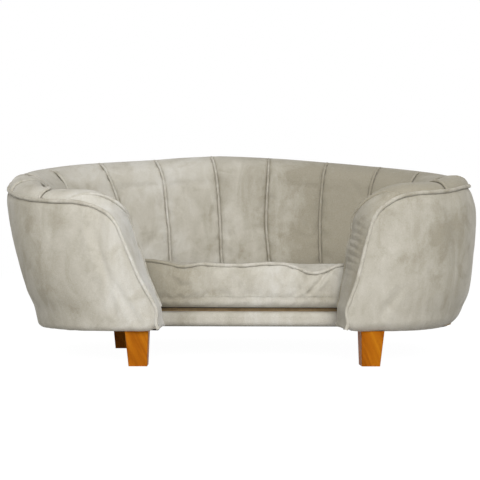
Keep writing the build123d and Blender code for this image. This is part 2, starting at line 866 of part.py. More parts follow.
# Slider with its bail, at the closed end of the zip
slider_x = chain_length / 2 - slider_gap - slider_length / 2
plate_offset = zip_coil_radius + slider_gap
plate_outside = zip_middle + plate_offset + slider_plate
pin_y = plate_outside + bail_reach
with BuildPart() as zipper_slider:
    with BuildSketch(Plane.XY.offset(zip_level - slider_height / 2)):
        for side in (-1, 1):
            with Locations((slider_x, zip_middle + side * (plate_offset + slider_plate / 2))):
                Rectangle(slider_length, slider_plate)
    extrude(amount=slider_height)
    with BuildSketch(Plane.XY.offset(zip_level - slider_neck_width / 2)):
        with Locations((slider_x + (slider_length - slider_neck_length) / 2, zip_middle)):
            Rectangle(slider_neck_length, 2 * plate_offset)
    extrude(amount=slider_neck_width)
    with BuildSketch(Plane.YZ.offset(slider_x - bail_width / 2)):
        with Locations((pin_y, zip_level)):
            Circle(bail_radius)
    extrude(amount=bail_width)
    for side in (-1, 1):
        with BuildSketch(Plane.YZ.offset(slider_x + side * (bail_width + bail_post) / 2)):
            with Locations((plate_outside, zip_level)):
                Rectangle(bail_reach + bail_radius, 2 * bail_radius, align=(Align.MIN, Align.CENTER))
        extrude(amount=bail_post / 2, both=True)
finish(zipper_slider.part, "zipper_slider")

with BuildPart() as zipper_pull:
    with BuildSketch(Plane.YZ.offset(slider_x - pull_width / 2)):
        with Locations((pin_y, zip_level)):
            Circle(pull_eye_radius)
            Rectangle(pull_thickness, pull_length, align=(Align.CENTER, Align.MAX))
            Circle(bail_radius + pin_clearance, mode=Mode.SUBTRACT)
    extrude(amount=pull_width)
finish(zipper_pull.part, "zipper_pull")
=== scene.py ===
"""Looks of a tub-shaped velvet pet sofa, built round its packed construction.

Lengths are metres. The sofa stands on the floor at Z zero, with its open side towards -Y.
"""
import json
import logging
import math
from dataclasses import dataclass, field
from enum import Enum
from typing import Callable, Sequence

import bmesh
import bpy
import numpy as np
from mathutils import Matrix, Vector, noise

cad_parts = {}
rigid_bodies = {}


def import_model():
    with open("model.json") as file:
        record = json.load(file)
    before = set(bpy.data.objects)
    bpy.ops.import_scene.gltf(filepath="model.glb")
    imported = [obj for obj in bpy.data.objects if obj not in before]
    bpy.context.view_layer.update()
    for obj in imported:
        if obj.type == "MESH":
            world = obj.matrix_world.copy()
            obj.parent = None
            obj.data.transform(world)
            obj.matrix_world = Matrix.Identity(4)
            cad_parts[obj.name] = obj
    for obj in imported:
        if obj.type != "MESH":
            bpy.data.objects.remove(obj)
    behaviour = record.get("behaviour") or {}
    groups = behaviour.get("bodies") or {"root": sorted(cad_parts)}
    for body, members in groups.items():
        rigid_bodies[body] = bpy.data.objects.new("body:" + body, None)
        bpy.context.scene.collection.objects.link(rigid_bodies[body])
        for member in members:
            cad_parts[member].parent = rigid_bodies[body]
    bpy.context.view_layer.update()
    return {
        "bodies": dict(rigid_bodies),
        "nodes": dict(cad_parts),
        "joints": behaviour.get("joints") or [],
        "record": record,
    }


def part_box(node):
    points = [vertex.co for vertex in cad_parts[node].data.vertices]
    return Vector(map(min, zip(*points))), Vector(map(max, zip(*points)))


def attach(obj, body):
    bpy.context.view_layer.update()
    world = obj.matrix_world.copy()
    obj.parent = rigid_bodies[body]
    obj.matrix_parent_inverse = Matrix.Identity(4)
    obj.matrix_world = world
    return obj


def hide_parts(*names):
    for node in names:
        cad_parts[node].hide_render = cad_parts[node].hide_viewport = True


LOG = logging.getLogger("pet_sofa")
Point = np.ndarray
Span = tuple[float, float]
Table = tuple[Span, ...]
Triple = tuple[float, float, float]
Faces = list[tuple[int, ...]]
Piece = bpy.types.Object
Socket = bpy.types.NodeSocket
Sockets = bpy.types.bpy_prop_collection
BLACK, WHITE = (0.0, 0.0, 0.0), (1.0, 1.0, 1.0)


class Side(Enum):
    """The two arms, by the sign of X on their side."""

    LEFT = -1
    RIGHT = 1


class Body(Enum):
    """The bodies of the construction that soft pieces ride on."""

    SOFA = "sofa"
    CUSHION = "cushion"


class Slot(Enum):
    """Material slots of the record."""

    VELVET = "velvet"
    PIPING = "piping"
    FOAM = "foam"
    WADDING = "wadding"
    BOARD = "board"
    TIMBER = "timber"
    LEG_WOOD = "leg_wood"
    LINING = "lining"
    WIRE = "wire"
    SCREW_STEEL = "screw_steel"
    ZIP_TAPE = "zip_tape"
    ZIP_NYLON = "zip_nylon"
    ZIP_METAL = "zip_metal"


# Helpers for numbers and meshes


def smooth(value: float | Point, low: float, high: float) -> float | Point:
    """Rise smoothly from 0 at low to 1 at high.

    Args:
        value: One number or an array.
        low: Where the rise starts.
        high: Where the rise ends.

    Returns:
        The share, of the same shape as value.
    """
    share = np.clip((value - low) / (high - low), 0.0, 1.0)
    return share * share * (3.0 - 2.0 * share)


def table(value: float | Point, pairs: Table) -> float | Point:
    """Read a table of pairs, with a rounded course between them.

    Args:
        value: One number or an array.
        pairs: Places in rising order with the value at each.

    Returns:
        The values, of the same shape as value.
    """
    places = np.array([pair[0] for pair in pairs])
    heights = np.array([pair[1] for pair in pairs])
    reach = (places[-1] - places[0]) / (len(places) * 3.0)
    shifts = np.linspace(-1.0, 1.0, 7)
    weights = 1.0 - np.abs(shifts) * 0.8
    total = sum(w * np.interp(np.asarray(value) + s * reach, places, heights) for s, w in zip(shifts, weights))
    result = total / weights.sum()
    return float(result) if np.ndim(result) == 0 else result


def below(value: float | Point, top: float, fade: float) -> float | Point:
    """Share that rises from 0 at the top to 1 at a fade's length below it."""
    return smooth(top - value, 0.0, fade)


def bell(distance: float | Point, width: float) -> float | Point:
    """Bell curve of height 1 over a distance."""
    return np.exp(-((distance / width) ** 2))


def grid_normals(grid: Point) -> Point:
    """Unit normals of a grid of points, across its rows and columns."""
    along = np.gradient(grid, axis=0)
    across = np.gradient(grid, axis=1)
    normal = np.cross(across, along)
    return normal / np.maximum(np.linalg.norm(normal, axis=2, keepdims=True), 1e-12)


def add_object(name: str, data: bpy.types.ID) -> Piece:
    """Make an object of some data and link it to the scene."""
    made = bpy.data.objects.new(name, data)
    bpy.context.scene.collection.objects.link(made)
    return made


def points_of(mesh: bpy.types.Mesh) -> Point:
    """Points of a mesh, as an array of points by 3."""
    return np.array([v.co for v in mesh.vertices])


def outward(points: Point, faces: Faces) -> Faces:
    """Turn the faces of a closed shell so that they all point out of it."""
    points = np.asarray(points, float)
    triangles = np.array([(f[0], f[i], f[i + 1]) for f in faces for i in range(1, len(f) - 1)])
    a, b, c = (points[triangles[:, k]] for k in range(3))
    volume = float(np.sum(np.cross(a, b) * c))
    return faces if volume > 0.0 else [face[::-1] for face in faces]


def mesh_object(name: str, points: Sequence, faces: Faces) -> Piece:
    """Make a smooth-shaded mesh object.

    Args:
        name: Name of the piece.
        points: Corner points.
        faces: Tuples of point numbers.

    Returns:
        The new object, linked to the scene.
    """
    mesh = bpy.data.meshes.new(name)
    mesh.from_pydata([tuple(map(float, p)) for p in points], [], faces)
    mesh.validate()
    mesh.update()
    mesh.shade_smooth()
    return add_object(name, mesh)


def line_object(lines: Sequence[Point], closed: bool) -> Piece:
    """Mesh of edges along lines."""
    points, edges = [], []
    for line in lines:
        first = len(points)
        points += [tuple(map(float, p)) for p in line]
        edges += [(first + i, first + i + 1) for i in range(len(line) - 1)]
        if closed:
            edges.append((first + len(line) - 1, first))
    mesh = bpy.data.meshes.new("line")
    mesh.from_pydata(points, edges, [])
    return add_object("line", mesh)


def sheet_faces(rows: int, columns: int, first: int = 0, flip: bool = False, ring: bool = False) -> Faces:
    """Quads of a grid of points that starts at a point number, and whose rows close on themselves as rings or not."""
    faces = []
    for row in range(rows - 1):
        for column in range(columns if ring else columns - 1):
            a, b = (first + row * columns + c % columns for c in (column, column + 1))
            quad = (a, b, b + columns, a + columns)
            faces.append(quad[::-1] if flip else quad)
    return faces


def shell_between(name: str, front: Point, back: Point) -> Piece:
    """Closed shell between a front and a back grid of the same size.

    Args:
        name: Name of the piece.
        front: Grid of the outer face, whose normals point out of the shell.
        back: Grid of the inner face.

    Returns:
        The closed mesh object.
    """
    rows, columns = front.shape[:2]
    points = np.concatenate([front.reshape(-1, 3), back.reshape(-1, 3)])
    behind = rows * columns
    faces = sheet_faces(rows, columns) + sheet_faces(rows, columns, behind, flip=True)
    edge = list(range(columns))
    edge += [r * columns + columns - 1 for r in range(1, rows)]
    edge += [(rows - 1) * columns + c for c in range(columns - 2, -1, -1)]
    edge += [r * columns for r in range(rows - 2, 0, -1)]
    for start, stop in zip(edge, edge[1:] + edge[:1]):
        faces.append((stop, start, start + behind, stop + behind))
    return mesh_object(name, points, outward(points, faces))


def lengths(path: Point) -> Point:
    """Length along a path of straight runs at each of its points."""
    return np.concatenate([[0.0], np.cumsum(np.linalg.norm(np.diff(path, axis=0), axis=1))])


def sample(path: Point, along: Point, count: int) -> Point:
    """A number of points of a path, with its ends, evenly over a measure of the way along it."""
    places = np.linspace(0.0, along[-1], count)
    return np.stack([np.interp(places, along, axis) for axis in path.T], axis=1)


def evenly(path: Point, step: float) -> Point:
    """Points about a step apart along a path of straight runs."""
    along = lengths(path)
    return sample(path, along, max(4, int(round(along[-1] / step)) + 1))


def quarter(centre: Span, radius: float, start: float, steps: int) -> list[Span]:
    """Points of a quarter of a circle from a start angle in degrees."""
    turns = [math.radians(start + 90.0 * step / steps) for step in range(steps + 1)]
    return [(centre[0] + radius * math.cos(turn), centre[1] + radius * math.sin(turn)) for turn in turns]


def level_away(points: Point, centre: Point) -> Point:
    """Level unit directions from a centre to points."""
    away = points - centre
    away[:, 2] = 0.0
    return away / np.linalg.norm(away, axis=1, keepdims=True)


def soften(path: Point, rounds: int) -> Point:
    """Round the corners of a path and keep its ends."""
    path = path.copy()
    for _ in range(rounds):
        path[1:-1] = (path[:-2] + 2.0 * path[1:-1] + path[2:]) / 4.0
    return path


# Node trees and finishes


class NodeBuilder:
    """A node tree under construction, with short calls for its nodes."""

    def __init__(self, tree: bpy.types.NodeTree) -> None:
        """Start on a tree."""
        self.tree = tree

    def feed(self, target: Socket, value: object) -> None:
        """Give an input another node's socket or a plain value."""
        if isinstance(value, Socket):
            self.tree.links.new(value, target)
        else:
            target.default_value = value

    def fill(self, made: bpy.types.Node, **values: object) -> None:
        """Give a node's inputs sockets or plain values, under their names with spaces as underscores."""
        for key, value in values.items():
            name = key.replace("_", " ")
            self.feed(next(s for s in made.inputs if s.name == name and s.enabled), value)

    def feed_first(self, made: bpy.types.Node, *values: object) -> bpy.types.Node:
        """Give a node's first inputs sockets or plain values, and hand the node back."""
        for target, value in zip(made.inputs, values):
            self.feed(target, value)
        return made

    def node(self, kind: str, **values: object) -> bpy.types.Node:
        """Add a node.

        Args:
            kind: Node type name.
            **values: Node attributes, and sockets or plain values for its inputs as in fill.

        Returns:
            The new node.
        """
        made = self.tree.nodes.new(kind)
        inputs = {key: value for key, value in values.items() if not hasattr(made, key)}
        for key, value in values.items():
            if key not in inputs:
                setattr(made, key, value)
        self.fill(made, **inputs)
        return made

    def math(self, operation: str, *terms: object, clamp: bool = False) -> Socket:
        """Result of an operation on numbers or sockets."""
        made = self.node("ShaderNodeMath", operation=operation, use_clamp=clamp)
        return self.feed_first(made, *terms).outputs["Value"]


class Shader(NodeBuilder):
    """Shader nodes of a material, a world or a group."""

    def place(self, scale: Triple = (1.0, 1.0, 1.0)) -> Socket:
        """Object coordinates, stretched."""
        where = self.node("ShaderNodeTexCoord").outputs["Object"]
        return self.node("ShaderNodeMapping", Vector=where, Scale=scale).outputs["Vector"]

    def noise(self, where: Socket, scale: float | Socket, detail: float, distortion: float,
              roughness: float = 0.55) -> Socket:
        """Noise value at a place."""
        return self.node("ShaderNodeTexNoise", Vector=where, Scale=scale, Detail=detail, Roughness=roughness,
                         Distortion=distortion).outputs["Fac"]

    def ramp(self, value: Socket, stops: Sequence[tuple[float, Triple]]) -> Socket:
        """Triples over a value."""
        made = self.node("ShaderNodeValToRGB", Fac=value)
        elements = made.color_ramp.elements
        while len(elements) < len(stops):
            elements.new(0.5)
        for element, (place, colour) in zip(elements, stops):
            element.position = place
            element.color = (*colour, 1.0)
        return made.outputs["Color"]

    def blend(self, share: float, a: Socket, b: Socket, kind: str = "MIX") -> Socket:
        """Mix two colours by a share."""
        made = self.node("ShaderNodeMix", data_type="RGBA", blend_type=kind)
        for number, value in ((0, share), (6, a), (7, b)):
            self.feed(made.inputs[number], value)
        return made.outputs[2]

    def bump(self, height: Socket, strength: float, distance: float, below: Socket | None = None) -> Socket:
        """Normal of a surface raised by a height, on top of another normal where there is one."""
        values = {} if below is None else {"Normal": below}
        return self.node("ShaderNodeBump", Height=height, Strength=strength, Distance=distance,
                         **values).outputs["Normal"]

    def show_white(self, share: float | None, surface: bpy.types.Node, white: bpy.types.Node, output: str) -> None:
        """End the tree with a surface that turns white where the camera or a reflection sees it.

        Args:
            share: How white it gets, or None for all of it.
            surface: Node that lights the sofa.
            white: Node that is seen.
            output: Name of the tree's output node.
        """
        rays = self.node("ShaderNodeLightPath").outputs
        seen = self.math("MAXIMUM", rays["Is Camera Ray"], rays["Is Glossy Ray"])
        seen = self.math("MAXIMUM", seen, rays["Is Transmission Ray"])
        if share is not None:
            seen = self.math("MULTIPLY", seen, share)
        mix = self.feed_first(self.node("ShaderNodeMixShader"), seen, surface.outputs[0], white.outputs[0])
        self.feed(self.tree.nodes[output].inputs["Surface"], mix.outputs[0])


def shader_group(name: str, inputs: dict[str, float], outputs: Sequence[str]) -> tuple[Shader, Sockets, Sockets]:
    """Start a shader node group.

    Args:
        name: Name of the group.
        inputs: Number inputs with their defaults.
        outputs: Names of the value outputs.

    Returns:
        The builder of its nodes, the group's inputs and its outputs.
    """
    group = bpy.data.node_groups.new(name, "ShaderNodeTree")
    for key, value in inputs.items():
        group.interface.new_socket(key, in_out="INPUT", socket_type="NodeSocketFloat").default_value = value
    for key in outputs:
        group.interface.new_socket(key, in_out="OUTPUT", socket_type="NodeSocketFloat")
    shader = Shader(group)
    return shader, shader.node("NodeGroupInput").outputs, shader.node("NodeGroupOutput").inputs


class Groups:
    """Shader groups that several materials share."""

    def __init__(self) -> None:
        """Build each group once."""
        self.nap = self.build_nap()
        self.grain = self.build_grain()
        self.weave = self.build_weave()

    def build_nap(self) -> bpy.types.NodeTree:
        """Crush marks and streaks of short velvet pile."""
        shader, start, end = shader_group(
            "velvet_nap", {"Patch scale": 24.0, "Streak scale": 60.0, "Contrast": 1.0}, ("Mark", "Pile"))
        patch = shader.noise(shader.place((1.0, 1.0, 0.72)), start["Patch scale"], 5.0, 0.9, 0.58)
        streak = shader.noise(shader.place((1.0, 1.0, 0.35)), start["Streak scale"], 3.0, 1.6, 0.6)
        both = shader.math("ADD", shader.math("MULTIPLY", patch, 0.68), shader.math("MULTIPLY", streak, 0.32))
        strong = shader.math("MULTIPLY", shader.math("SUBTRACT", both, 0.5), start["Contrast"])
        shader.feed(end["Mark"], shader.math("ADD", shader.math("MULTIPLY", strong, 3.4), 0.5, clamp=True))
        shader.feed(end["Pile"], shader.noise(shader.place(), 1400.0, 2.0, 0.0))
        return shader.tree

    def build_grain(self) -> bpy.types.NodeTree:
        """Long wood grain along Z, drawn slantwise across a sawn face."""
        shader, start, end = shader_group("wood_grain", {"Ring scale": 60.0, "Slant": 0.45}, ("Ring", "Fibre"))
        x, y, z = shader.node("ShaderNodeSeparateXYZ", Vector=shader.place()).outputs
        across = shader.math("ADD", x, shader.math("MULTIPLY", z, start["Slant"]))
        drawn = shader.node("ShaderNodeCombineXYZ", X=across, Y=shader.math("MULTIPLY", y, 0.6),
                            Z=shader.math("MULTIPLY", z, 0.12)).outputs[0]
        shader.feed(end["Ring"], shader.noise(drawn, start["Ring scale"], 3.0, 0.7, 0.5))
        shader.feed(end["Fibre"], shader.noise(drawn, 900.0, 2.0, 0.0))
        return shader.tree

    def build_weave(self) -> bpy.types.NodeTree:
        """Fine crossed threads of tape and lining."""
        shader, start, end = shader_group("thread_weave", {"Threads": 1500.0}, ("Height",))
        x, y, z = shader.node("ShaderNodeSeparateXYZ", Vector=shader.place()).outputs
        waves = [shader.math("SINE", shader.math("MULTIPLY", axis, start["Threads"]))
                 for axis in (x, shader.math("ADD", y, z))]
        product = shader.math("MULTIPLY", *waves)
        shader.feed(end["Height"], shader.math("ADD", shader.math("MULTIPLY", product, 0.5), 0.5))
        return shader.tree


@dataclass(frozen=True)
class Finish:
    """A finish by name, with the start of its material."""

    name: str

    def start(self) -> tuple[bpy.types.Material, Shader, bpy.types.Node]:
        """Make the material, the builder of its nodes and its surface node."""
        material = bpy.data.materials.new(self.name)
        material.use_nodes = True
        return material, Shader(material.node_tree), material.node_tree.nodes["Principled BSDF"]


@dataclass(frozen=True)
class Velvet(Finish):
    """Short-pile velvet: mottled nap, brush marks, soft sheen and a fine pile."""

    shade: Triple = (0.270, 0.240, 0.172)
    middle: Triple = (0.488, 0.460, 0.392)
    light: Triple = (0.690, 0.678, 0.640)
    patch_scale: float = 11.0
    streak_scale: float = 30.0
    contrast: float = 0.50
    brush_scale: float = 27.0
    brush_marks: float = 0.18
    fleck: float = 0.24
    sheen: float = 0.25
    crumple: float = 0.35
    crumple_scale: float = 38.0
    crumple_depth: float = 0.004
    pile_depth: float = 0.0006

    def build(self, groups: Groups) -> bpy.types.Material:
        """Make the material."""
        material, shader, surface = self.start()
        nap = shader.node("ShaderNodeGroup", node_tree=groups.nap, Patch_scale=self.patch_scale,
                          Streak_scale=self.streak_scale, Contrast=self.contrast).outputs
        # Tone shift stored on each point: the lay of the pile with painted shade and painted highlight, and painted
        # shade along the channel seams.
        nap_and_shade = shader.node("ShaderNodeAttribute", attribute_name="nap_and_shade_tone").outputs["Fac"]
        brushed = shader.noise(shader.place(), self.brush_scale, 3.0, 0.55)
        brushed = shader.ramp(brushed, ((0.54, BLACK), (0.68, WHITE)))
        tone = shader.math("SUBTRACT", nap["Mark"], shader.math("MULTIPLY", brushed, self.brush_marks))
        tone = shader.math("ADD", tone, nap_and_shade, clamp=True)
        colour = shader.ramp(tone, ((0.0, self.shade), (0.5, self.middle), (1.0, self.light)))
        flecks = shader.ramp(nap["Pile"], ((0.35, self.shade), (0.65, self.light)))
        dents = shader.noise(shader.place(), self.crumple_scale, 4.0, 0.6)
        low = shader.bump(dents, self.crumple, self.crumple_depth)
        shader.fill(surface, Base_Color=shader.blend(self.fleck, colour, flecks), Roughness=0.85,
                    Specular_IOR_Level=0.18, Sheen_Weight=self.sheen, Sheen_Roughness=0.45,
                    Sheen_Tint=(0.93, 0.91, 0.86, 1.0), Normal=shader.bump(nap["Pile"], 0.18, self.pile_depth, low))
        return material


@dataclass(frozen=True)
class Wood(Finish):
    """Wood with slanting grain."""

    dark: Triple
    warm: Triple
    pale: Triple
    ring_scale: float = 60.0
    slant: float = 0.45
    roughness: float = 0.42
    coat: float = 0.0
    gloss: float = 0.25

    def build(self, groups: Groups) -> bpy.types.Material:
        """Make the material."""
        material, shader, surface = self.start()
        grain = shader.node("ShaderNodeGroup", node_tree=groups.grain, Ring_scale=self.ring_scale,
                            Slant=self.slant).outputs
        rings = shader.ramp(grain["Ring"], ((0.30, self.dark), (0.5, self.warm), (0.72, self.pale)))
        fibres = shader.ramp(grain["Fibre"], ((0.3, (0.82, 0.80, 0.78)), (0.7, WHITE)))
        rough = shader.math("ADD", shader.math("MULTIPLY", grain["Fibre"], 0.14), self.roughness - 0.07)
        shader.fill(surface, Base_Color=shader.blend(0.6, rings, fibres, "MULTIPLY"), Roughness=rough,
                    Specular_IOR_Level=self.gloss, Coat_Weight=self.coat, Coat_Roughness=0.3,
                    Normal=shader.bump(grain["Fibre"], 0.12, 0.0004))
        return material


@dataclass(frozen=True)
class Threaded(Finish):
    """Woven tape or lining."""

    dark: Triple
    light: Triple
    threads: float = 2600.0
    roughness: float = 0.9

    def build(self, groups: Groups) -> bpy.types.Material:
        """Make the material."""
        material, shader, surface = self.start()
        height = shader.node("ShaderNodeGroup", node_tree=groups.weave, Threads=self.threads).outputs["Height"]
        shader.fill(surface, Base_Color=shader.ramp(height, ((0.1, self.dark), (0.9, self.light))),
                    Roughness=self.roughness, Normal=shader.bump(height, 0.3, 0.0003))
        return material


@dataclass(frozen=True)
class Plain(Finish):
    """Metal, plastic or foam with a fine uneven surface."""

    dark: Triple
    light: Triple
    roughness: float
    metallic: float = 0.0
    scale: float = 300.0
    relief: float = 0.15

    def build(self, groups: Groups) -> bpy.types.Material:
        """Make the material."""
        material, shader, surface = self.start()
        spots = shader.noise(shader.place(), self.scale, 4.0, 0.2)
        rough = shader.math("ADD", shader.math("MULTIPLY", spots, 0.2), self.roughness - 0.1)
        shader.fill(surface, Base_Color=shader.ramp(spots, ((0.3, self.dark), (0.7, self.light))), Roughness=rough,
                    Metallic=self.metallic, Normal=shader.bump(spots, self.relief, 0.0005))
        return material


class Finishes:
    """Every finish of the sofa, by its material slot."""

    def __init__(self) -> None:
        """Build the materials."""
        groups = Groups()
        recipes = {
            Slot.VELVET: Velvet("taupe_velvet"),
            Slot.PIPING: Velvet("piping_velvet", patch_scale=50.0, streak_scale=160.0),
            Slot.FOAM: Plain("cut_foam", (0.68, 0.62, 0.42), (0.78, 0.72, 0.52), 0.95, scale=900.0, relief=0.5),
            Slot.WADDING: Plain("wadding", (0.72, 0.72, 0.70), (0.84, 0.84, 0.82), 0.95, scale=500.0, relief=0.6),
            Slot.BOARD: Wood("raw_board", (0.36, 0.25, 0.13), (0.45, 0.32, 0.18), (0.52, 0.38, 0.22),
                             ring_scale=30.0, slant=0.1, roughness=0.75),
            Slot.TIMBER: Wood("raw_pine", (0.48, 0.32, 0.15), (0.58, 0.41, 0.21), (0.66, 0.48, 0.27),
                              ring_scale=40.0, slant=0.1, roughness=0.7),
            Slot.LEG_WOOD: Wood("honey_stain", (0.27, 0.070, 0.002), (0.41, 0.122, 0.004), (0.51, 0.180, 0.007),
                                gloss=0.05),
            Slot.LINING: Threaded("black_lining", (0.004, 0.004, 0.004), (0.016, 0.016, 0.016)),
            Slot.WIRE: Plain("staple_wire", (0.42, 0.42, 0.43), (0.58, 0.58, 0.6), 0.4, metallic=1.0),
            Slot.SCREW_STEEL: Plain("zinc_plate", (0.40, 0.40, 0.41), (0.55, 0.55, 0.56), 0.38, metallic=1.0),
            Slot.ZIP_TAPE: Threaded("zip_tape_cloth", (0.20, 0.175, 0.13), (0.30, 0.27, 0.21)),
            Slot.ZIP_NYLON: Plain("zip_nylon_coil", (0.19, 0.165, 0.12), (0.27, 0.24, 0.18), 0.5),
            Slot.ZIP_METAL: Plain("zip_enamel", (0.14, 0.125, 0.10), (0.20, 0.18, 0.15), 0.35, metallic=0.3),
        }
        self.materials = {slot: recipe.build(groups) for slot, recipe in recipes.items()}

    def dress(self, piece: Piece, slot: Slot) -> None:
        """Give a piece its finish."""
        piece.data.materials.clear()
        piece.data.materials.append(self.materials[slot])


class NodeTool(NodeBuilder):
    """A geometry node tree that works on line meshes and is baked to plain meshes."""

    def __init__(self, name: str, kinds: dict[str, str]) -> None:
        """Start a tree.

        Args:
            name: Name of the tree.
            kinds: Socket kind of each input besides the lines and the material.
        """
        super().__init__(bpy.data.node_groups.new(name, "GeometryNodeTree"))
        face = self.tree.interface
        for key, kind in {"Geometry": "Geometry", **kinds, "Material": "Material"}.items():
            face.new_socket(key, in_out="INPUT", socket_type=f"NodeSocket{kind}")
        face.new_socket("Geometry", in_out="OUTPUT", socket_type="NodeSocketGeometry")
        self.start = self.node("NodeGroupInput").outputs
        self.end = self.node("NodeGroupOutput").inputs

    def close(self, geometry: Socket) -> None:
        """End the tree with real geometry in its material."""
        real = self.node("GeometryNodeRealizeInstances", Geometry=geometry).outputs[0]
        dressed = self.node("GeometryNodeSetMaterial", Geometry=real, Material=self.start["Material"])
        self.feed(self.end["Geometry"], dressed.outputs[0])

    def bake(self, name: str, lines: Sequence[Point], closed: bool, values: dict[str, object]) -> Piece:
        """Run the tree on lines.

        Args:
            name: Name of the finished piece.
            lines: Points of each line.
            closed: Whether each line closes on itself.
            values: Values of the tree's inputs, by name.

        Returns:
            A plain mesh object.
        """
        line = line_object(lines, closed)
        modifier = line.modifiers.new(self.tree.name, "NODES")
        modifier.node_group = self.tree
        for item in self.tree.interface.items_tree:
            if item.in_out == "INPUT" and item.name in values:
                modifier[item.identifier] = values[item.name]
        graph = bpy.context.evaluated_depsgraph_get()
        mesh = bpy.data.meshes.new_from_object(line.evaluated_get(graph), depsgraph=graph)
        mesh.name = name
        mesh.shade_smooth()
        bpy.data.objects.remove(line)
        return add_object(name, mesh)


@dataclass(frozen=True)
class Cord:
    """Size of piping."""

    radius: float
    unevenness: float
    sides: int = 8
    wave_scale: float = 170.0


@dataclass(frozen=True)
class Bead:
    """Size and spacing of small pieces in a row."""

    spacing: float
    length: float
    radius: float


@dataclass(frozen=True)
class Stuffing:
    """Pressure, farthest move and cloth of a stuffed cover, for its simulation."""

    pressure: float
    cap: float
    frames: int = 14
    quality: int = 5
    mass: float = 0.15
    tension: float = 12.0
    compression: float = 6.0
    shear: float = 3.0
    bending: float = 0.3
    shrink: float = -0.035


@dataclass(frozen=True)
class NapAndShadeTables:
    """Tone shift over X on each cut panel of velvet, as pairs of X and a shift of its tone: partly the lay of the
    pile, and partly painted shade and painted highlight for how the light falls on each part.
    """

    # Painted shade and painted highlight in these tables: the inside is darker towards the right, the left end band
    # lighter and the right one darker, the cushion front darker at its left and the cover darker at its far ends. The
    # rest is the lay of the pile.
    inside: Table = (
        (-0.36, -0.06), (-0.22, 0.14), (-0.12, 0.10), (-0.04, -0.12), (0.04, -0.24), (0.12, -0.42), (0.20, -0.68),
        (0.34, -0.52))
    cover: Table = (
        (-0.37, -0.26), (-0.30, -0.22), (-0.24, -0.12), (-0.19, 0.24), (-0.10, 0.0), (0.10, 0.0), (0.20, -0.16),
        (0.26, -0.28), (0.32, -0.30), (0.37, -0.16))
    bands: Table = ((-0.3, 0.08), (-0.16, 0.40), (-0.1, 0.44), (0.1, -0.40), (0.3, -0.36))
    cushion: Table = (
        (-0.20, -0.70), (-0.13, -0.68), (-0.085, -0.16), (-0.03, 0.08), (0.05, 0.04), (0.14, -0.06), (0.2, -0.1))
    rail: Table = ((-0.2, -0.05), (0.0, 0.04), (0.2, -0.05))


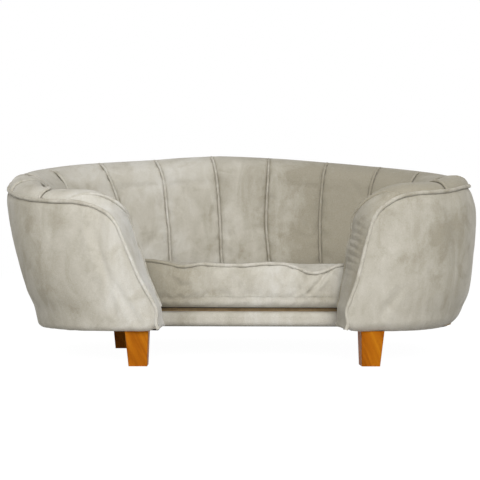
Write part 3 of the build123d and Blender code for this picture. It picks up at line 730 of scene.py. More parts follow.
class Workshop:
    """The finishes and the node tools that all sub-assemblies share."""

    def __init__(self, finishes: Finishes) -> None:
        """Build the node tools."""
        self.finishes = finishes
        self.nap_and_shade_tables = NapAndShadeTables()
        self.piping_tool = self.build_piping()
        self.row_tool = self.build_row()

    def build_piping(self) -> NodeTool:
        """Tree that lays an uneven round cord along lines."""
        tool = NodeTool("piping", {"Radius": "Float", "Unevenness": "Float", "Wave scale": "Float", "Sides": "Int"})
        start = tool.start
        curve = tool.node("GeometryNodeMeshToCurve", Mesh=start["Geometry"]).outputs[0]
        place = tool.node("GeometryNodeInputPosition").outputs[0]
        wave = tool.node("ShaderNodeTexNoise", Vector=place, Scale=start["Wave scale"]).outputs[0]
        swing = tool.math("MULTIPLY", tool.math("SUBTRACT", wave, 0.5), start["Unevenness"])
        size = tool.math("MULTIPLY_ADD", swing, 4.0, 1.0)
        ring = tool.node("GeometryNodeCurvePrimitiveCircle", Resolution=start["Sides"], Radius=start["Radius"])
        sized = tool.node("GeometryNodeSetCurveRadius", Curve=curve, Radius=size).outputs[0]
        tube = tool.node("GeometryNodeCurveToMesh", Curve=sized, Profile_Curve=ring.outputs[0], Fill_Caps=True)
        if "Scale" in tube.inputs:
            tool.feed(tube.inputs["Scale"], size)
        tool.close(tube.outputs[0])
        return tool

    def build_row(self) -> NodeTool:
        """Tree that sets small round pieces along lines, such as stitches or zip teeth."""
        tool = NodeTool("row_of_pieces", {
            "Spacing": "Float", "Length": "Float", "Radius": "Float", "Along": "Vector", "Follow line": "Bool"})
        start = tool.start
        curve = tool.node("GeometryNodeMeshToCurve", Mesh=start["Geometry"]).outputs[0]
        points = tool.node("GeometryNodeCurveToPoints", mode="LENGTH", Curve=curve, Length=start["Spacing"]).outputs
        choice = tool.feed_first(tool.node("GeometryNodeSwitch", input_type="VECTOR"),
                                 start["Follow line"], start["Along"], points["Tangent"])
        turn = tool.node("FunctionNodeAlignRotationToVector", axis="Z", Vector=choice.outputs[0]).outputs[0]
        ball = tool.node("GeometryNodeMeshUVSphere", Segments=6, Rings=5, Radius=1.0).outputs[0]
        half = tool.math("MULTIPLY", start["Length"], 0.5)
        size = tool.node("ShaderNodeCombineXYZ", X=start["Radius"], Y=start["Radius"], Z=half).outputs[0]
        pieces = tool.node("GeometryNodeInstanceOnPoints", Points=points["Points"], Instance=ball, Rotation=turn,
                           Scale=size)
        tool.close(pieces.outputs[0])
        return tool

    def piping(self, name: str, lines: Sequence[Point], cord: Cord, closed: bool = False) -> Piece:
        """Lay piping along lines.

        Args:
            name: Name of the piece.
            lines: Points of each line, in the sofa's frame.
            cord: Size of the piping.
            closed: Whether each line closes on itself.

        Returns:
            The plain mesh object.
        """
        return self.piping_tool.bake(name, lines, closed, {
            "Radius": cord.radius, "Unevenness": cord.unevenness, "Wave scale": cord.wave_scale,
            "Sides": cord.sides, "Material": self.finishes.materials[Slot.PIPING]})

    def row(self, name: str, lines: Sequence[Point], bead: Bead, along: Triple | None, slot: Slot) -> Piece:
        """Set small pieces along lines.

        Args:
            name: Name of the piece.
            lines: Points of each line, in the sofa's frame.
            bead: Size and spacing of the pieces.
            along: Direction of their length on open lines, or None to follow closed lines.
            slot: Material slot.

        Returns:
            The plain mesh object.
        """
        return self.row_tool.bake(name, lines, along is None, {
            "Spacing": bead.spacing, "Length": bead.length, "Radius": bead.radius, "Along": along or (0.0, 0.0, 1.0),
            "Follow line": along is None, "Material": self.finishes.materials[slot]})

    def store_nap_and_shade(self, piece: Piece, nap_and_shade: Table) -> None:
        """Store on each point of a piece its tone shift, which holds the lay of the pile together with painted shade
        and painted highlight.
        """
        tones = np.asarray(table(points_of(piece.data)[:, 0], nap_and_shade), np.float32)
        layer = piece.data.attributes.new("nap_and_shade_tone", "FLOAT", "POINT")
        layer.data.foreach_set("value", tones)

    def puff(self, piece: Piece, pinned: Sequence[int], stuffing: Stuffing) -> None:
        """Stuff a padded piece by cloth simulation, held at its seams.

        Args:
            piece: The mesh object, which keeps its number of points.
            pinned: Points that the seams hold.
            stuffing: Pressure and cloth.
        """
        rest = points_of(piece.data)
        group = piece.vertex_groups.new(name="seams")
        group.add(sorted(set(pinned)), 1.0, "REPLACE")
        modifier = piece.modifiers.new("stuffing", "CLOTH")
        settings = modifier.settings
        settings.quality = stuffing.quality
        settings.mass = stuffing.mass
        settings.tension_stiffness = stuffing.tension
        settings.compression_stiffness = stuffing.compression
        settings.shear_stiffness = stuffing.shear
        settings.bending_stiffness = stuffing.bending
        settings.shrink_min = stuffing.shrink
        settings.use_pressure = True
        settings.uniform_pressure_force = stuffing.pressure
        settings.vertex_group_mass = "seams"
        settings.effector_weights.gravity = 0.0
        modifier.collision_settings.use_collision = False
        modifier.point_cache.frame_start = 1
        modifier.point_cache.frame_end = stuffing.frames
        scene = bpy.context.scene
        for frame in range(1, stuffing.frames + 1):
            scene.frame_set(frame)
        move = points_of(piece.evaluated_get(bpy.context.evaluated_depsgraph_get()).data) - rest
        length = np.maximum(np.linalg.norm(move, axis=1, keepdims=True), 1e-9)
        move *= stuffing.cap * np.tanh(length / stuffing.cap) / length
        LOG.info("%s: stuffed, farthest free move %.1f mm", piece.name, 1000.0 * float(length.max()))
        piece.modifiers.remove(modifier)
        piece.vertex_groups.remove(group)
        scene.frame_set(1)
        piece.data.vertices.foreach_set("co", (rest + move).ravel())
        piece.data.update()

    def finish(self, piece: Piece, body: Body, slot: Slot, *nodes: str, nap_and_shade: Table | None = None) -> None:
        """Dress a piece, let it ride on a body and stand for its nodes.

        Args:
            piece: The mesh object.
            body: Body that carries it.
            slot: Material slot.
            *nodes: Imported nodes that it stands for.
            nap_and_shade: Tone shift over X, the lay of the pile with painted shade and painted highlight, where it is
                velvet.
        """
        self.finishes.dress(piece, slot)
        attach(piece, body.value)
        if nodes:
            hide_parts(*nodes)
        LOG.info("%s: %d faces, rides on %s", piece.name, len(piece.data.polygons), body.value)
        if nap_and_shade is not None:
            self.store_nap_and_shade(piece, nap_and_shade)


@dataclass(frozen=True)
class Waves:
    """Smooth random waves of cloth: height, waves per metre, pattern and stretch along Z."""

    height: float
    scale: float
    seed: float
    upright: float = 1.0

    def at(self, points: Point, number: float = 1.0) -> Point:
        """Height of the waves at points.

        Args:
            points: Array whose last axis is X, Y and Z.
            number: Number of the piece, which picks a pattern of its own.

        Returns:
            Heights, one for each point.
        """
        flat = (points * np.array([1.0, 1.0, self.upright])).reshape(-1, 3) * self.scale + self.seed * number
        return self.height * np.array([noise.noise(Vector(p)) for p in flat]).reshape(points.shape[:-1])


@dataclass(frozen=True)
class Crease:
    """A fold pressed into cloth, seen from the front as a line over X and Z, with a lip on either side."""

    line: Table
    depth: float
    width: float
    lip_height: float = 0.45
    lip_place: float = 1.9

    def depth_at(self, points: Point) -> Point:
        """Depth of the fold at points, less than zero on its lips."""
        flat = points[..., [0, 2]]
        nearest = np.full(flat.shape[:-1], 1.0)
        for first, last in zip(self.line, self.line[1:]):
            a, b = np.array(first), np.array(last)
            run = b - a
            share = np.clip(((flat - a) @ run) / (run @ run), 0.0, 1.0)
            nearest = np.minimum(nearest, np.linalg.norm(flat - (a + share[..., None] * run), axis=-1))
        lip = bell(nearest - self.lip_place * self.width, self.width)
        return self.depth * (bell(nearest, self.width) - self.lip_height * lip)


def creased(height: Point, creases: Sequence[Crease], points: Point, where: Point) -> Point:
    """Height of points less the depth of creases, where a mask allows them."""
    for crease in creases:
        height = height - crease.depth_at(points) * where
    return height


# Shape of the wall

STRAIGHT_STEPS = 24
TURN_STEPS = 16


def arm_number(angle: float) -> int:
    """Number of the arm on an angle's side: 0 for the left one and 1 for the right one."""
    return 0 if angle < 0 else 1


@dataclass(frozen=True)
class Slice:
    """Upright slice through the wall at one angle round the plan."""

    foot: Point
    inside: Point
    upward: Point
    lean: float
    length: float
    foot_thickness: float
    rim_thickness: float

    def at(self, inwards: float | Point, height: float | Point) -> Point:
        """Point at a distance inwards and a height up the outer face."""
        inwards = np.asarray(inwards, float)
        height = np.asarray(height, float)
        return self.foot + inwards[..., None] * self.inside + height[..., None] * self.upward

    def outer_reach(self, height: float | Point, deep: float | Point = 0.0) -> float | Point:
        """Distance inwards of the outer face, or of a depth behind it."""
        return self.lean * np.asarray(height) / self.length + deep

    def inner_reach(self, height: float | Point, deep: float | Point = 0.0) -> float | Point:
        """Distance inwards of the inner face, or of a depth behind it."""
        share = np.asarray(height) / self.length
        thickness = self.foot_thickness + (self.rim_thickness - self.foot_thickness) * share
        return self.lean * share + thickness - deep

    def outer(self, height: float | Point, deep: float | Point = 0.0) -> Point:
        """Point at a depth behind the outer face."""
        return self.at(self.outer_reach(height, deep), height)

    def level(self, z: float) -> float:
        """Height up the outer face of a level above the floor."""
        return (z - float(self.foot[2])) / float(self.upward[2])


@dataclass(frozen=True)
class TubForm:
    """Form of the padded wall: oblong plan, falling rim and slanted arm ends.

    Tables are pairs of a signed angle, a level or a share up the skin and the value there. A span named for sides,
    fronts or levels is where an effect starts and where it is full, and one that ends in _below is the place
    under which it starts and the length over which it comes in. What comes in twos is for the left and right arm.
    """

    middle_y: float
    half_width: float = 0.382
    half_depth: float = 0.237
    foot_half_width: float = 0.346
    foot_half_depth: float = 0.226
    plan_power: float = 3.0
    back_height: float = 0.358
    arm_height: float = 0.257
    rim_fall_angle: float = 130.0
    rim_fall_power: float = 1.36
    corner_start: float = 126.0
    corner_drop: float = 0.036
    corner_power: float = 3.0
    end_angle: float = 140.9
    splay_start: float = 95.0
    splay_angle: float = 9.7
    body_bottom: float = 0.0523
    foot_thickness: float = 0.078
    rim_thickness: float = 0.054
    back_crest: Triple = (0.003, 0.056, 0.10)
    arm_crests: tuple[Triple, ...] = ((0.019, 0.046, 0.50), (0.015, 0.040, 0.50))
    seam_drop: float = 0.010
    crest_turn: Span = (78.0, 106.0)
    crest_power: float = 0.9
    rim_ledge: float = 0.00275
    ledge_share: float = 0.3
    band_ends: tuple[Span, ...] = ((13.0, 1.35), (6.5, 0.8))
    band_inset: float = 0.8
    band_turn: Span = (0.74, 1.06)
    rim_lifts: Table = (
        (-141.0, -0.006), (-134.0, -0.0100), (-126.0, -0.0105), (-119.0, -0.0085), (-112.0, -0.004),
        (-104.0, 0.0010), (-97.0, 0.0030), (-80.0, 0.000), (-60.0, 0.002), (-35.0, -0.003), (-8.0, 0.0),
        (14.0, -0.003), (36.0, -0.004), (60.0, -0.001), (80.0, 0.001), (99.0, 0.008), (112.0, 0.014),
        (124.0, 0.007), (141.0, 0.003),
    )
    seam_paths: tuple[Table, ...] = (
        ((0.0, -106.0), (0.6, -102.0), (0.69, -100.0), (0.725, -103.5), (0.76, -111.5), (0.80, -116.6),
         (0.84, -120.4), (0.89, -122.6), (1.0, -121.5)),
        ((0.0, -96.0), (0.6, -95.0), (0.70, -96.5), (0.75, -101.0), (0.80, -107.2), (0.88, -109.7), (1.0, -109.5)),
        ((0.0, -88.0), (0.6, -90.0), (0.75, -95.0), (0.85, -97.0), (0.92, -92.0), (1.0, -81.5)),
        ((0.0, -70.5), (0.6, -71.5), (0.78, -73.0), (0.92, -71.2), (1.0, -69.5)),
        ((0.0, -46.5), (0.3, -47.0), (0.63, -49.2), (0.76, -51.7), (0.90, -53.4), (1.0, -52.4)),
        ((0.0, -33.2), (0.22, -32.4), (0.42, -31.2), (0.59, -31.4), (0.73, -32.3), (0.86, -34.5), (0.93, -35.4),
         (1.0, -35.2)),
        ((0.0, -10.8), (0.24, -9.9), (0.46, -8.5), (0.56, -8.6), (0.66, -9.2), (0.76, -10.0), (0.90, -12.0),
         (1.0, -12.2)),
        ((0.0, 12.4), (0.24, 12.5), (0.44, 12.8), (0.54, 13.4), (0.75, 14.2), (0.92, 14.7), (1.0, 14.8)),
        ((0.0, 34.0), (0.20, 34.5), (0.34, 35.0), (0.54, 36.0), (0.71, 36.5), (0.80, 37.0), (0.88, 37.9), (1.0, 38.3)),
        ((0.0, 51.0), (0.40, 52.5), (0.68, 53.5), (0.78, 54.4), (0.92, 55.2), (1.0, 55.2)),
        ((0.0, 73.0), (0.60, 73.0), (0.76, 72.3), (0.83, 70.9), (0.93, 68.8), (1.0, 66.5)),
        ((0.0, 87.5), (0.60, 90.0), (0.80, 91.6), (0.86, 90.6), (0.93, 84.5), (1.0, 77.5)),
        ((0.0, 103.5), (0.75, 105.0), (0.90, 104.0), (1.0, 100.0)),
        ((0.0, 117.5), (0.70, 117.0), (0.85, 120.0), (1.0, 121.0)),
    )
    lean_shift: float = -0.016
    lean_levels: Span = (0.075, 0.265)
    arm_fronts: Span = (0.06, 0.19)
    arm_sides: Span = (0.03, 0.12)
    rim_tucks: Span = (0.004, 0.009)
    rim_tuck_levels: Span = (0.235, 0.275)
    rim_tuck_sides: Span = (0.22, 0.34)
    rim_tuck_fronts: Span = (-0.13, 0.02)
    flank_sides: Span = (0.22, 0.30)
    foot_tucks: Span = (0.0050, 0.0060)
    foot_tuck_below: Span = (0.108, 0.035)
    right_bulge: float = 0.003
    bulge_level: float = 0.215
    bulge_width: float = 0.045
    foot_nook: float = 0.0120
    nook_x_below: Span = (0.152, 0.026)
    nook_z_below: Span = (0.090, 0.034)
    toe_rise: float = 0.0030
    toe_power: float = 1.5
    toe_x_below: Span = (0.162, 0.028)
    toe_z_below: Span = (0.094, 0.036)
    nudge_angles: Span = (112.0, 136.0)
    nudge_shares: Span = (0.78, 1.0)
    arm_sways: tuple[Table, ...] = (
        ((0.05, -0.001), (0.075, -0.004), (0.106, -0.0085), (0.13, -0.0115), (0.16, -0.0105), (0.185, -0.0095),
         (0.21, -0.006), (0.235, -0.001)),
        ((0.05, -0.0085), (0.075, -0.0075), (0.093, -0.0058), (0.113, -0.0035), (0.14, -0.002), (0.175, -0.0015),
         (0.20, 0.0)),
    )
    inner_nudges: tuple[Table, ...] = (
        ((0.06, -0.005), (0.085, -0.0066), (0.106, -0.004), (0.128, -0.001), (0.157, 0.0042), (0.185, 0.0064),
         (0.215, 0.008), (0.25, 0.008)),
        ((0.07, 0.003), (0.093, 0.0032), (0.113, -0.0017), (0.131, -0.0033), (0.148, -0.0058), (0.171, -0.0096),
         (0.20, -0.0108), (0.215, -0.0135), (0.25, -0.0135)),
    )
    bottom_radii: Table = (
        (-141.0, 0.010), (-118.0, 0.009), (-104.0, 0.010), (-60.0, 0.013), (0.0, 0.020), (60.0, 0.030),
        (95.0, 0.038), (118.0, 0.022), (141.0, 0.012),
    )

    def outline(self, angle: float, half_x: float, half_y: float) -> Point:
        """Point of the rounded oblong at an angle from the back."""
        side = math.sin(math.radians(angle))
        back = math.cos(math.radians(angle))
        total = (abs(side) / half_x) ** self.plan_power + (abs(back) / half_y) ** self.plan_power
        reach = total ** (-1.0 / self.plan_power)
        return np.array([reach * side, reach * back])

    def inward(self, angle: float) -> Point:
        """Level direction into the sofa, square to the rim outline."""
        x, y = self.outline(angle, self.half_width, self.half_depth)
        slope_x = abs(x / self.half_width) ** (self.plan_power - 1) / self.half_width
        slope_y = abs(y / self.half_depth) ** (self.plan_power - 1) / self.half_depth
        direction = np.array([-math.copysign(slope_x, x), -math.copysign(slope_y, y), 0.0])
        return direction / np.linalg.norm(direction)

    def crest(self, angle: float) -> Triple:
        """Drop to the rim seam, drop to the inner shoulder and share of the thickness under the crest.

        On the back and sides the seam itself is the highest line, and on the arms the stuffing rises above it.
        """
        turn = float(smooth(abs(angle), *self.crest_turn))
        arm = self.arm_crests[arm_number(angle)]
        return tuple(a + (b - a) * turn for a, b in zip(self.back_crest, arm))

    def rim_height(self, angle: float) -> float:
        """Height of the crest at an angle."""
        turn = abs(angle)
        fall = min(1.0, turn / self.rim_fall_angle) ** self.rim_fall_power
        rise = (1.0 + math.cos(math.pi * fall)) / 2.0
        corner = max(0.0, (turn - self.corner_start) / (self.end_angle - self.corner_start))
        height = self.arm_height + (self.back_height - self.arm_height) * rise
        arm = self.arm_crests[arm_number(angle)]
        stuffing = (arm[0] - self.seam_drop) * float(smooth(turn, *self.crest_turn))
        return height + table(angle, self.rim_lifts) + stuffing - self.corner_drop * corner**self.corner_power

    def foot_angle(self, angle: float) -> float:
        """Angle at the foot, where the arm ends reach further round."""
        splay = max(0.0, (abs(angle) - self.splay_start) / (self.end_angle - self.splay_start))
        return math.copysign(abs(angle) + self.splay_angle * splay**2, angle)

    def slice_at(self, angle: float) -> Slice:
        """Slice through the wall at an angle."""
        foot = np.array([*self.outline(self.foot_angle(angle), self.foot_half_width, self.foot_half_depth),
                         self.body_bottom])
        rim = np.array([*self.outline(angle, self.half_width, self.half_depth), self.rim_height(angle)])
        inside = self.inward(angle)
        rise = rim - foot
        lean = float(rise @ inside)
        upward = rise - inside * lean
        length = float(np.linalg.norm(upward))
        return Slice(foot, inside, upward / length, lean, length, self.foot_thickness, self.rim_thickness)

    def settle(self, points: Point) -> Point:
        """Place points in the sofa's frame, with the slight lean and sway of the stuffed wall.

        Args:
            points: Array whose last axis is X, Y and Z, in the plan's own place.

        Returns:
            The array in the frame.
        """
        placed = np.array(points, float)
        x, y, z = placed[..., 0].copy(), placed[..., 1], placed[..., 2]
        shift = self.lean_shift * smooth(z, *self.lean_levels)
        front = smooth(-y, *self.arm_fronts)
        for number, side in enumerate(Side):
            near = smooth(side.value * x, *self.arm_sides)
            shift = shift + front * near * table(z, self.arm_sways[number])
            tuck = smooth(z, *self.rim_tuck_levels) * smooth(side.value * x, *self.rim_tuck_sides)
            shift = shift - side.value * self.rim_tucks[number] * tuck * smooth(-y, *self.rim_tuck_fronts)
        left, right = (smooth(side.value * x, *self.flank_sides) for side in Side)
        foot = below(z, *self.foot_tuck_below) * (self.foot_tucks[0] * left - self.foot_tucks[1] * right)
        shift = shift + foot + self.right_bulge * bell(z - self.bulge_level, self.bulge_width) * right
        nook = front * below(np.abs(x), *self.nook_x_below) * below(z, *self.nook_z_below)
        toe = front * below(np.abs(x), *self.toe_x_below)
        placed[..., 0] = x + shift + np.sign(x) * self.foot_nook * nook
        placed[..., 1] += self.middle_y
        placed[..., 2] = z + self.toe_rise * toe**self.toe_power * below(z, *self.toe_z_below)
        return placed

    def skin_profile(self, angle: float, bottom: float, count: int, deep: float = 0.0) -> Point:
        """Points up the inner face and over the crest to the rim seam.

        Args:
            angle: Angle of the slice.
            bottom: Level above the floor where the skin starts.
            count: Number of points.
            deep: Depth below the skin.

        Returns:
            Array of points by 3, evenly spaced along the skin.
        """
        wall = self.slice_at(angle)
        outer_drop, inner_drop, crest_share = self.crest(angle)
        top, shoulder, rim = wall.length - deep, wall.length - inner_drop, wall.length - outer_drop - deep
        heights = np.linspace(wall.level(bottom), shoulder, STRAIGHT_STEPS)
        straight = wall.at(wall.inner_reach(heights, deep), heights)
        centre = wall.lean + self.rim_thickness * crest_share
        turns = np.linspace(0.0, math.pi / 2.0, TURN_STEPS)[1:]
        over = wall.at(centre + (wall.inner_reach(shoulder, deep) - centre) * np.cos(turns) ** self.crest_power,
                       shoulder + (top - shoulder) * np.sin(turns) ** self.crest_power)
        ledge = wall.outer_reach(rim, self.rim_ledge) + deep * self.ledge_share
        down = wall.at(centre - (centre - ledge) * np.sin(turns), rim + (top - rim) * np.cos(turns))
        path = np.concatenate([straight, over, down])
        points = sample(path, lengths(path), count)
        inner = 1.0 - smooth(np.linspace(0.0, 1.0, count), *self.nudge_shares)
        nudge = table(points[:, 2], self.inner_nudges[arm_number(angle)])
        points[:, 0] += inner * float(smooth(abs(angle), *self.nudge_angles)) * nudge
        return points

    def seam_angle(self, number: int, share: float | Point) -> float | Point:
        """Angle of a channel seam over the share up the skin, from 0 at the seat to 1 at the rim."""
        return table(share, self.seam_paths[number])

    def band_angle(self, share: float | Point, side: Side) -> float | Point:
        """Angle of the end band's seam, which runs slantwise back over the crest.

        Args:
            share: Place up the skin, from 0 at the seat to 1 at the rim seam.
            side: Which arm.

        Returns:
            Signed angles.
        """
        back, power = self.band_ends[arm_number(side.value)]
        return side.value * (self.end_angle - self.band_inset - back * smooth(share, *self.band_turn) ** power)


@dataclass
class TubWall:
    """The velvet skins, the piping and the layers of the wall.

    A span of a fade or a turn runs up the skin, from 0 at the seat to 1 at the rim.
    """

    form: TubForm
    kit: Workshop
    profiles: dict[tuple[float, float, int], Point] = field(default_factory=dict)
    profile_knots: int = 401
    skin_bottom: float = 0.083
    band_bottom: float = 0.0525
    skin_rows: int = 60
    skin_depth: float = 0.009
    channel_columns: int = 25
    even_columns: float = 0.22
    broad_crown: float = 0.25
    crown_powers: tuple[float, int] = (2.4, 16)
    edge_powers: tuple[int, int] = (3, 12)
    crown: float = 0.0014
    groove: float = 0.0044
    arm_angles: Span = (84.0, 104.0)
    rim_fade: Span = (0.76, 0.97)
    arm_fade: float = 0.85
    puckers: Waves = Waves(0.0008, 55.0, 3.1)
    channel_waves: Waves = Waves(0.0014, 15.0, 7.7, 0.5)
    rim_share: float = 0.25
    stuffing: Stuffing = Stuffing(2.0, 0.0020)
    stuffing_fade: Span = (0.80, 0.94)
    # Depth and width of the painted shade along the channel seams.
    seam_shade_tone: float = 0.55
    seam_shade_width: float = 0.0042
    channel_cord: Cord = Cord(0.0024, 0.10)
    channel_cord_lift: float = 0.0006
    channel_cord_sink: float = 0.0036
    channel_cord_fade: Span = (0.86, 1.0)
    channel_cord_waves: Waves = Waves(0.0005, 60.0, 1.0)
    rim_cord: Cord = Cord(0.0029, 0.09, 10)
    rim_cord_points: int = 320
    rim_cord_depth: float = 0.0015
    rim_cord_rounding: int = 14
    arm_cord_depth: float = 0.001
    arm_cord_stop: float = 0.004
    rim_cord_uneven: Span = (0.0002, 0.0006)
    rim_cord_fronts: Span = (-0.05, 0.10)
    rim_cord_waves: tuple[Waves, Waves] = (Waves(1.0, 45.0, 4.0), Waves(1.0, 60.0, 12.0))
    band_columns: int = 15
    band_depths: Span = (0.002, 0.003)
    band_rounding: int = 60
    band_bulge: float = 0.0045
    band_rise: float = 0.0030
    band_turn: Span = (0.55, 0.85)
    band_swell: float = 0.0026
    band_waves: Waves = Waves(0.0007, 70.0, 5.0)
    band_back: Span = (0.0012, 0.0068)
    band_foot: Span = (0.0, 0.4)
    band_back_foot: Span = (0.0, 0.1)
    band_back_fade: Span = (0.72, 0.95)
    gather_depths: Span = (0.00055, 0.00231)
    gather_waves: Span = (560.0, 430.0)
    gather_level: float = 0.17
    gather_width: float = 0.035
    cover_thickness: float = 0.0015
    flange: float = 0.023
    flange_end: float = 0.97
    cover_columns: int = 400
    cover_rows: int = 46
    cover_spacing: float = 0.92
    cover_bulge: float = 0.0045
    cover_end: float = 14.0
    cover_tuck: Span = (0.0035, 0.006)
    cover_waves: tuple[Waves, Waves] = (Waves(0.0016, 14.0, 21.0, 0.55), Waves(0.0004, 70.0, 2.0))
    rim_gathers: Waves = Waves(0.0007, 120.0, 31.0, 0.25)
    sag_below: Span = (0.085, 0.03)
    foam_depths: Span = (0.0095, 0.028)
    foam_insets: Span = (2.0, 4.0)
    wadding_depths: Span = (0.0052, 0.0085)
    foot_sags: Table = (
        (-141.0, 0.0005), (-128.0, 0.0015), (-114.0, 0.0040), (-98.0, 0.0052), (-78.0, 0.0035), (-50.0, 0.0022),
        (60.0, 0.0022), (100.0, 0.0022), (125.0, 0.0015), (141.0, 0.0005),
    )
    channel_creases: tuple[Crease, ...] = (
        Crease(((-0.180, 0.172), (-0.165, 0.190), (-0.148, 0.212)), 0.0016, 0.005),
        Crease(((0.100, 0.262), (0.112, 0.240), (0.130, 0.213)), 0.0016, 0.005),
        Crease(((0.086, 0.215), (0.108, 0.203), (0.128, 0.196)), 0.0010, 0.005),
        Crease(((0.215, 0.300), (0.224, 0.288), (0.232, 0.272)), 0.0018, 0.005),
    )
    cover_creases: tuple[Crease, ...] = (
        Crease(((-0.199, 0.136), (-0.1985, 0.105), (-0.1975, 0.074)), 0.0024, 0.0035),
        Crease(((-0.217, 0.200), (-0.2035, 0.152), (-0.187, 0.111), (-0.166, 0.066)), 0.0018, 0.005),
        Crease(((-0.207, 0.215), (-0.2055, 0.180), (-0.2045, 0.145)), 0.0022, 0.008),
        Crease(((0.262, 0.142), (0.272, 0.128), (0.281, 0.116)), 0.0012, 0.004),
        Crease(((0.214, 0.110), (0.190, 0.078)), 0.0014, 0.006),
        Crease(((0.300, 0.240), (0.306, 0.205), (0.312, 0.150)), 0.0014, 0.012),
    )

    def skin_point_grid(self, angles: Point, deep: float, bottom: float | None = None) -> Point:
        """Skin points for a grid of angles.

        Args:
            angles: Array of rows by columns.
            deep: Depth below the skin.
            bottom: Level of the first row, or None for the channels' own.

        Returns:
            Array of rows by columns by 3, not yet settled.
        """
        rows = angles.shape[0]
        bottom = self.skin_bottom if bottom is None else bottom
        limit = self.form.end_angle
        if (deep, bottom, rows) not in self.profiles:
            knots = np.linspace(-limit, limit, self.profile_knots)
            self.profiles[deep, bottom, rows] = np.stack(
                [self.form.skin_profile(knot, bottom, rows, deep) for knot in knots], axis=1)
        profile = self.profiles[deep, bottom, rows]
        place = (np.clip(angles, -limit, limit) + limit) / (2 * limit) * (self.profile_knots - 1)
        low = np.clip(np.floor(place).astype(int), 0, self.profile_knots - 2)
        share = (place - low)[..., None]
        row_numbers = np.arange(rows)[:, None]
        return profile[row_numbers, low] * (1.0 - share) + profile[row_numbers, low + 1] * share

    def seams(self) -> list[Callable[[Point], Point]]:
        """Angle of each seam over the share up the skin, from left to right."""
        form = self.form
        rules = [lambda share: form.band_angle(share, Side.LEFT)]
        rules += [lambda share, n=n: form.seam_angle(n, share) for n in range(len(form.seam_paths))]
        rules.append(lambda share: form.band_angle(share, Side.RIGHT))
        return rules

    def channels(self) -> None:
        """Padded channels between the seams."""
        shares = np.linspace(0.0, 1.0, self.skin_rows)
        even = np.linspace(0.0, 1.0, self.channel_columns)
        across = self.even_columns * even + (1.0 - self.even_columns) * (1.0 - np.cos(even * math.pi)) / 2.0
        rules = self.seams()
        blocks = []
        for number, (first, last) in enumerate(zip(rules, rules[1:]), start=1):
            start, stop = first(shares)[:, None], last(shares)[:, None]
            angles = start + (stop - start) * across[None, :]
            grid = self.skin_point_grid(angles, 0.0)
            relief = self.channel_relief(grid, angles, across, number) * smooth(shares, 0.0, 0.02)[:, None]
            front = grid + grid_normals(grid) * relief[..., None]
            blocks.append((self.form.settle(front), self.form.settle(self.skin_point_grid(angles, self.skin_depth))))
        fronts = self.stuff_channels([front for front, _ in blocks])
        for number, (front, (_, back)) in enumerate(zip(fronts, blocks), start=1):
            piece = shell_between(f"channel_skin_{number:02d}", front, back)
            self.kit.finish(piece, Body.SOFA, Slot.VELVET, f"channel_{number:02d}", nap_and_shade=self.kit.nap_and_shade_tables.inside)
            # Painted shade along the side seams of the channel.
            self.paint_seam_shade(piece, front)

    def channel_relief(self, grid: Point, angles: Point, across: Point, number: int) -> Point:
        """Height of a channel's padding over its skin.

        Args:
            grid: Points of the skin.
            angles: Angle of each point.
            across: Share of the way across the channel at each column.
            number: Number of the channel, which picks its own folds.

        Returns:
            Height at each point of the grid.
        """
        aside = np.abs(2.0 * across - 1.0)
        broad_power, flat_power = self.crown_powers
        crown = self.broad_crown * (1.0 - aside**broad_power) + (1.0 - self.broad_crown) * (1.0 - aside**flat_power)
        edge = aside ** self.edge_powers[0] * (1.0 - aside ** self.edge_powers[1])
        arm = smooth(np.abs(angles), *self.arm_angles)
        rim = smooth(np.linspace(0.0, 1.0, len(grid)), *self.rim_fade)[:, None]
        full = 1.0 - rim * (1.0 - self.arm_fade * arm)
        folds = self.puckers.at(grid, number) * edge + self.channel_waves.at(grid) * crown
        relief = ((self.crown + self.groove) * crown - self.groove) * full
        relief = relief + folds * (self.rim_share + (1.0 - self.rim_share) * full)
        return creased(relief, self.channel_creases, grid, grid[..., 1] > 0.0)

    def paint_seam_shade(self, piece: Piece, front: Point) -> None:
        """Paint shade on the pile along the side seams, where the grooves lie in shadow."""
        sides = [np.linalg.norm(front - front[:, column:column + 1 or None], axis=2) for column in (0, -1)]
        near = np.minimum(*sides).reshape(-1)
        layer = piece.data.attributes["nap_and_shade_tone"]
        tones = np.zeros(len(piece.data.vertices), np.float32)
        layer.data.foreach_get("value", tones)
        tones[:near.size] -= self.seam_shade_tone * np.exp(-(near / self.seam_shade_width) ** 2)
        layer.data.foreach_set("value", tones)

    def stuff_channels(self, fronts: list[Point]) -> list[Point]:
        """Stuff all the channels in one simulation, held at the seams.

        Args:
            fronts: Grid of each channel's face, which shares its side columns with its neighbours.

        Returns:
            The grids after stuffing.
        """
        step = self.channel_columns - 1
        whole = np.concatenate([fronts[0]] + [front[:, 1:] for front in fronts[1:]], axis=1)
        rows, columns = whole.shape[:2]
        cloth = mesh_object("channel_cloth", whole.reshape(-1, 3), sheet_faces(rows, columns))
        pinned = [row * columns + column for row in range(rows) for column in range(0, columns, step)]
        pinned += [*range(columns), *range((rows - 1) * columns, rows * columns)]
        self.kit.puff(cloth, pinned, self.stuffing)
        done = points_of(cloth.data).reshape(rows, columns, 3)
        bpy.data.objects.remove(cloth)
        fade = 1.0 - smooth(np.linspace(0.0, 1.0, rows), *self.stuffing_fade)
        done = whole + (done - whole) * fade[:, None, None]
        return [done[:, n * step:(n + 1) * step + 1] for n in range(len(fronts))]

